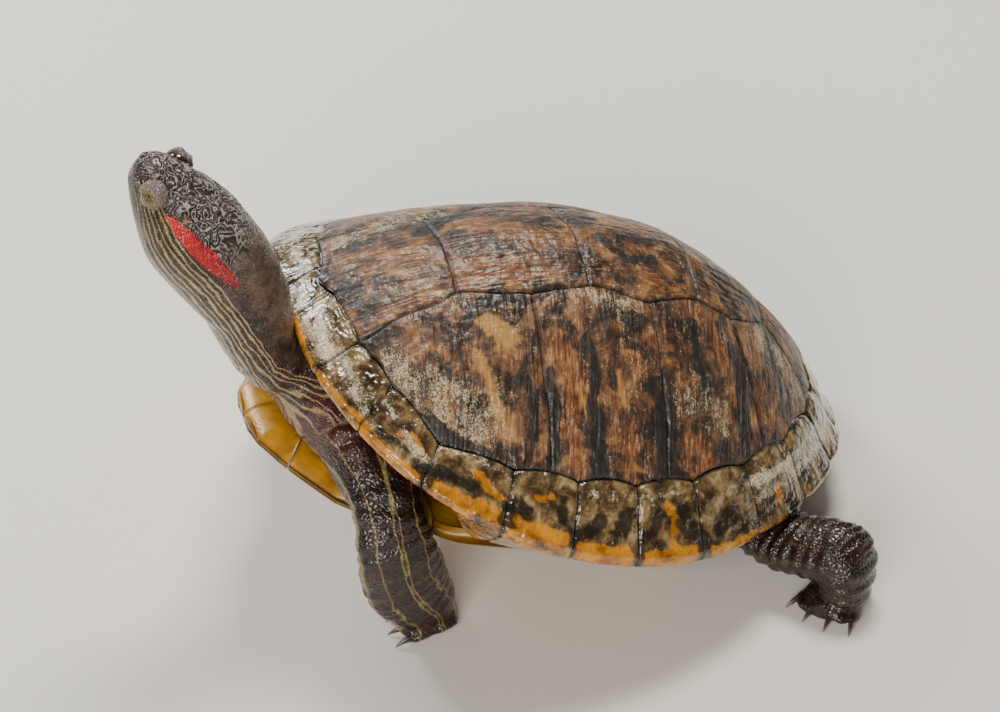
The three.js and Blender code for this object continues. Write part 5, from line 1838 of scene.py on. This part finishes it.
def make_skin():
    """Striped scaly skin, wet."""
    made, shader, add = new_material("wet_scaly_skin")
    mark = {key: add("Attribute", out="Fac", attribute_name=key) for key in skin_numbers}
    place = add("TexCoord", out="Object")
    crown, neck, fore, hind = (mark[key] for key in ("crown", "neck", "fore", "hind"))
    down_neck = add("DIVIDE", mark["run_mm"], NECK_RUN_MM)
    run_m = add("MULTIPLY", mark["run_mm"], 0.45 * MM)
    around = add("MULTIPLY", mark["turn"], HALF_GIRTH_MM * MM)
    flow = add("CombineXYZ", run_m, around)
    broad = add("SUBTRACT", add("TexNoise", flow, Scale=1 / (7.0 * MM)), 0.5)
    tight = add("SUBTRACT", add("TexNoise", flow, Scale=1 / (2.6 * MM)), 0.5)

    # lines on the neck wander a little at the head and fork and meet at its base
    base_sway = add("ADD", add("MULTIPLY", mark["loose"], 0.3), 0.045)
    low_neck = add("ValToRGB", down_neck, stops=[(0.5, 0.0), (0.85, 0.16)])
    sway = add("MULTIPLY", broad, add("ADD", base_sway, low_neck))
    sway = add("ADD", sway, add("MULTIPLY", tight, 0.05))
    neck_place = add("ADD", mark["turn"], sway)
    neck_lines = line_mask(add, neck_place, NECK_LINES, 0.005)
    leg_place = add("ADD", mark["turn"], add("MULTIPLY", broad, 0.16))
    leg_place = add("ADD", leg_place, add("MULTIPLY", tight, 0.05))
    leg_lines = line_mask(add, leg_place, LEG_LINES, 0.01)

    mottle = add("TexNoise", place, Scale=1 / (4.0 * MM), Detail=5.0, Roughness=0.65)
    speck = add("TexNoise", place, Scale=1 / (0.8 * MM), Detail=3.0, Roughness=0.7)
    purple = add("ValToRGB", mottle, stops=[(0.34, "#110705"), (0.5, "#24120c"), (0.66, "#3d2217")])
    charcoal = add("ValToRGB", mottle, stops=[(0.34, "#100c0b"), (0.52, "#2a201b"), (0.7, "#4a3a31")])
    slate = add("ValToRGB", mottle, stops=[(0.34, "#0c0503"), (0.52, "#1c0d07"), (0.7, "#341c12")])
    colour = add("Mix", crown, purple, charcoal)
    colour = add("Mix", hind, colour, slate)
    colour = add("Mix", add("MULTIPLY", fore, 0.75), colour, slate)
    colour = add("Mix", add("MULTIPLY", mark["loose"], 0.55), colour, "#53262b")

    nape = add("MULTIPLY", add("ValToRGB", mark["turn"], stops=[(0.58, 0.0), (0.74, 0.6)]), neck)
    nape = add("MULTIPLY", nape, add("MULTIPLY_ADD", crown, -1.0, 1.0))
    colour = add(
        "Mix", nape, colour, add("ValToRGB", mottle, stops=[(0.36, "#3a2a22"), (0.64, "#7d675a")])
    )

    # greenish yellow near the jaw, cream further down, dull on the legs
    pale_stops = [(0.05, "#8c8430"), (0.2, "#a3965a"), (0.5, "#bba97c"), (0.95, "#a08058")]
    pale = add("ValToRGB", down_neck, stops=pale_stops)
    pale = add("Mix", add("ValToRGB", mark["turn"], stops=[(0.06, 0.75), (0.16, 0.0)]), pale, "#b3a21c")
    fade = add("ValToRGB", speck, stops=[(0.3, 0.45), (0.55, 0.95)])
    behind_snout = add("ValToRGB", down_neck, stops=[(0.03, 0.15), (0.1, 1.0)])
    neck_lines = add("MULTIPLY", neck_lines, behind_snout)
    neck_amount = add("MULTIPLY", add("MULTIPLY", neck_lines, neck), fade)
    colour = add("Mix", neck_amount, colour, pale)
    leg_weight = add(
        "ADD", add("ValToRGB", fore, stops=[(0.75, 0.0), (0.98, 0.75)]), add("MULTIPLY", hind, 0.1)
    )
    leg_amount = add("MULTIPLY", add("MULTIPLY", leg_lines, leg_weight), fade)
    colour = add("Mix", leg_amount, colour, "#97864f")

    # the tops of the crown's wrinkles are painted paler, a painted glint of the wet crown
    folded = add("TexNoise", place, Scale=1 / (WRINKLE_MM * MM), Roughness=0.6, Distortion=0.4)
    worms = add("SINE", add("MULTIPLY", folded, WRINKLE_TURNS))
    painted_glint = add("MULTIPLY", add("ValToRGB", worms, stops=[(0.05, 0.0), (0.95, 0.78)]), crown)
    colour = add("Mix", painted_glint, colour, "#a39b98")
    spot = add("ADD", mark["tan_mm"], add("MULTIPLY", tight, 3.0))
    colour = add("Mix", add("ValToRGB", spot, stops=[(0.1, 0.0), (0.9, 0.7)]), colour, "#9c7048")
    red_edge = add("ADD", mark["red_mm"], add("MULTIPLY", tight, 1.4))
    red = add("ValToRGB", red_edge, stops=[(0.0, 0.0), (0.35, 0.96)])
    red_colour = add(
        "ValToRGB", add("DIVIDE", mark["run_mm"], 50.0),
        stops=[(0.35, "#c80a10"), (0.62, "#a00810"), (0.86, "#7a1210")],
    )
    colour = add("Mix", red, colour, red_colour)
    colour = add("Mix", add("MULTIPLY", mark["lid"], 0.62), colour, "#7d716a")
    colour = add("Mix", add("MULTIPLY", mark["lid_rim"], 0.7), colour, "#8f7036")
    # painted shade: the mouth's groove is darkened to a thin dark line
    mouth = add("ValToRGB", mark["mouth_mm"], stops=[(0.1, 0.15), (0.45, 1.0)])
    colour = add("Mix", 0.85, colour, mouth, blend_type="MULTIPLY")

    fine_cells = add("TexVoronoi", place, Scale=1 / (NECK_SCALE_MM * MM), feature="DISTANCE_TO_EDGE")
    big_cells = add("TexVoronoi", place, Scale=1 / (LEG_SCALE_MM * MM), feature="DISTANCE_TO_EDGE")
    fine_pads = add("ValToRGB", fine_cells, stops=[(0.0, 0.0), (0.22, 1.0)])
    big_pads = add("ValToRGB", big_cells, stops=[(0.0, 0.0), (0.28, 1.0)])
    on_legs = add("ADD", fore, hind, use_clamp=True)
    pads = add("Mix", on_legs, fine_pads, big_pads)
    # painted shade: the grooves between the scales are darkened
    colour = add(
        "Mix", 0.55, colour, add("ValToRGB", pads, stops=[(0.0, 0.35), (0.6, 1.0)]), blend_type="MULTIPLY"
    )
    rough = add("ValToRGB", speck, stops=[(0.3, 0.26), (0.7, 0.5)])
    fill(shader, {"Base Color": colour, "Roughness": rough, "IOR": SKIN_IOR})
    wet_coat(shader, 0.75, 0.09)
    wrinkled = add("MULTIPLY", worms, add("MULTIPLY_ADD", crown, 0.85, 0.05))
    pad_height = add("MULTIPLY", pads, add("MULTIPLY_ADD", crown, -0.3, 0.38))
    relief = add("ADD", pad_height, wrinkled)
    bump = add("Bump", Height=relief, Strength=1.0, Distance=0.38 * MM)
    fill(shader, {"Normal": bump, "Coat Normal": bump})
    return made


skin_mesh.materials.append(make_skin())
skin = bpy.data.objects.new("skin", skin_mesh)
bpy.context.scene.collection.objects.link(skin)
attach(skin, "root")
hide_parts("head", "neck", "foreleg_left", "foreleg_right", "hindleg_left", "hindleg_right",
            "tail", "trunk")
print("skin triangles:", sum(len(p.vertices) - 2 for p in skin_mesh.polygons))

# %% [markdown]
# ## Eyes
# Only the front of the ball shows between the lids. The iris is pale green with a
# dark bar through it, level with the mouth, and a round pupil in the middle. The
# cornea over it is clear and wet, so the ball has one smooth glossy coat with no
# grain. The colours are rings of angle from the gaze, kept on the vertices.

# %% Eyeballs
EYE_RINGS = 40
EYE_SIDES = 56
CORNEA_IOR = 1.376


def make_eye():
    """Iris, bar and pupil under a wet cornea."""
    made, shader, add = new_material("wet_cornea_and_iris")
    angle = add("Attribute", out="Fac", attribute_name="gaze_angle")
    level = add("Attribute", out="Fac", attribute_name="level")
    place = add("TexCoord", out="Object")
    fibres = add("TexNoise", place, Scale=1 / (0.5 * MM), Detail=3.0, Roughness=0.7)
    iris = add("ValToRGB", fibres, stops=[(0.3, "#3d4419"), (0.6, "#6c6f2c"), (0.8, "#8d8a48")])
    bar = add("ValToRGB", add("ABSOLUTE", level), stops=[(0.09, 0.9), (0.16, 0.0)])
    iris = add("Mix", bar, iris, "#14120c")
    white = add("ValToRGB", angle, stops=[(0.58, 0.0), (0.66, 1.0)])
    iris = add("Mix", white, iris, "#2c2620")
    pupil = add("ValToRGB", angle, stops=[(0.2, 1.0), (0.24, 0.0)])
    iris = add("Mix", pupil, iris, "#050505")
    fill(shader, {"Base Color": iris, "Roughness": 0.08, "IOR": CORNEA_IOR})
    wet_coat(shader, 1.0, 0.02)
    return made


eye_finish = make_eye()
for name, side in (("eye_left", 1), ("eye_right", -1)):
    centre, gaze, fore, rise = eye_frame(side)
    polar, round_it = np.meshgrid(np.linspace(0.02, np.pi - 0.02, EYE_RINGS - 1),
                                  np.linspace(0, 2 * np.pi, EYE_SIDES, endpoint=False), indexing="ij")
    off_gaze = np.sin(polar)
    ball = np.stack([np.cos(polar), off_gaze * np.cos(round_it), off_gaze * np.sin(round_it)], axis=-1)
    bulge = 1 + 0.035 * np.exp(-(polar / 0.5) ** 2)
    ball = (ball * bulge[..., None]).reshape(-1, 3)
    world = centre + ball @ np.stack([gaze, fore, rise]) * EYEBALL_RADIUS * MM
    angle = np.arccos(np.clip(ball[:, 0] / np.linalg.norm(ball, axis=1), -1, 1)) / np.pi * 2
    numbers = {"gaze_angle": angle, "level": ball[:, 2]}
    faces = tube_faces(world, EYE_RINGS - 1, EYE_SIDES)
    eyeball = mesh_object(name + "_ball", world, faces, numbers, eye_finish)
    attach(eyeball, "root")
    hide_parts(name)
print("eyes:", 2 * EYEBALL_RADIUS, "mm across")

# %% [markdown]
# ## Claws
# A claw is a cone of dark horn, deeper than it is wide and curved down. Each is
# lofted along an arc from its root in the toe, and stays a separate piece.

# %% Claws
CLAW_LENGTH = 5.6
CLAW_RINGS = 14
CLAW_SIDES = 16


def make_claw_horn():
    """Dark, slightly clear horn, paler at the tip."""
    made, shader, add = new_material("dark_claw_keratin")
    place = add("TexCoord", out="Object")
    fibres = add("TexNoise", place, Scale=1 / (0.8 * MM), Detail=4.0, Roughness=0.7)
    toward_tip = add("Attribute", out="Fac", attribute_name="tip")
    shade = add("MULTIPLY_ADD", toward_tip, 0.7, add("MULTIPLY", fibres, 0.35))
    colour = add("ValToRGB", shade, stops=[(0.2, "#1d1916"), (0.6, "#3a312a"), (0.95, "#6f6250")])
    fill(shader, {"Base Color": colour, "Roughness": 0.3, "IOR": KERATIN_IOR})
    wet_coat(shader, 0.5, 0.1)
    bump = add("Bump", Height=fibres, Strength=0.4, Distance=0.1 * MM)
    fill(shader, {"Normal": bump})
    return made


claw_horn = make_claw_horn()
for leg, roots in claw_roots.items():
    for k, (root, heading) in enumerate(roots):
        share = np.linspace(0, 1, CLAW_RINGS)
        centre = root + heading * (CLAW_LENGTH * share)[:, None]
        centre[:, 2] = root[2] + 0.25 * np.sin(share * np.pi) - (root[2] - 0.35) * share ** 1.8
        half = 1.15 * (1 - share) ** 0.7 + 0.10
        angle = np.linspace(0, 2 * np.pi, CLAW_SIDES, endpoint=False)
        rings = (centre[:, None]
                 + np.cross(UP, heading) * (np.outer(half * 0.85, np.cos(angle)))[..., None]
                 + UP * (np.outer(half * 1.1, np.sin(angle)))[..., None])
        rings[..., 2] = np.maximum(rings[..., 2], 0.02)
        rings = stand(rings.reshape(-1, 3))
        numbers = {"tip": np.repeat(share, CLAW_SIDES)}
        faces = tube_faces(rings, CLAW_RINGS, CLAW_SIDES)
        claw = mesh_object(f"claw_{leg}_{k + 1}", rings, faces, numbers, claw_horn)
        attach(claw, "root")
print("claws:", sum(len(roots) for roots in claw_roots.values()))
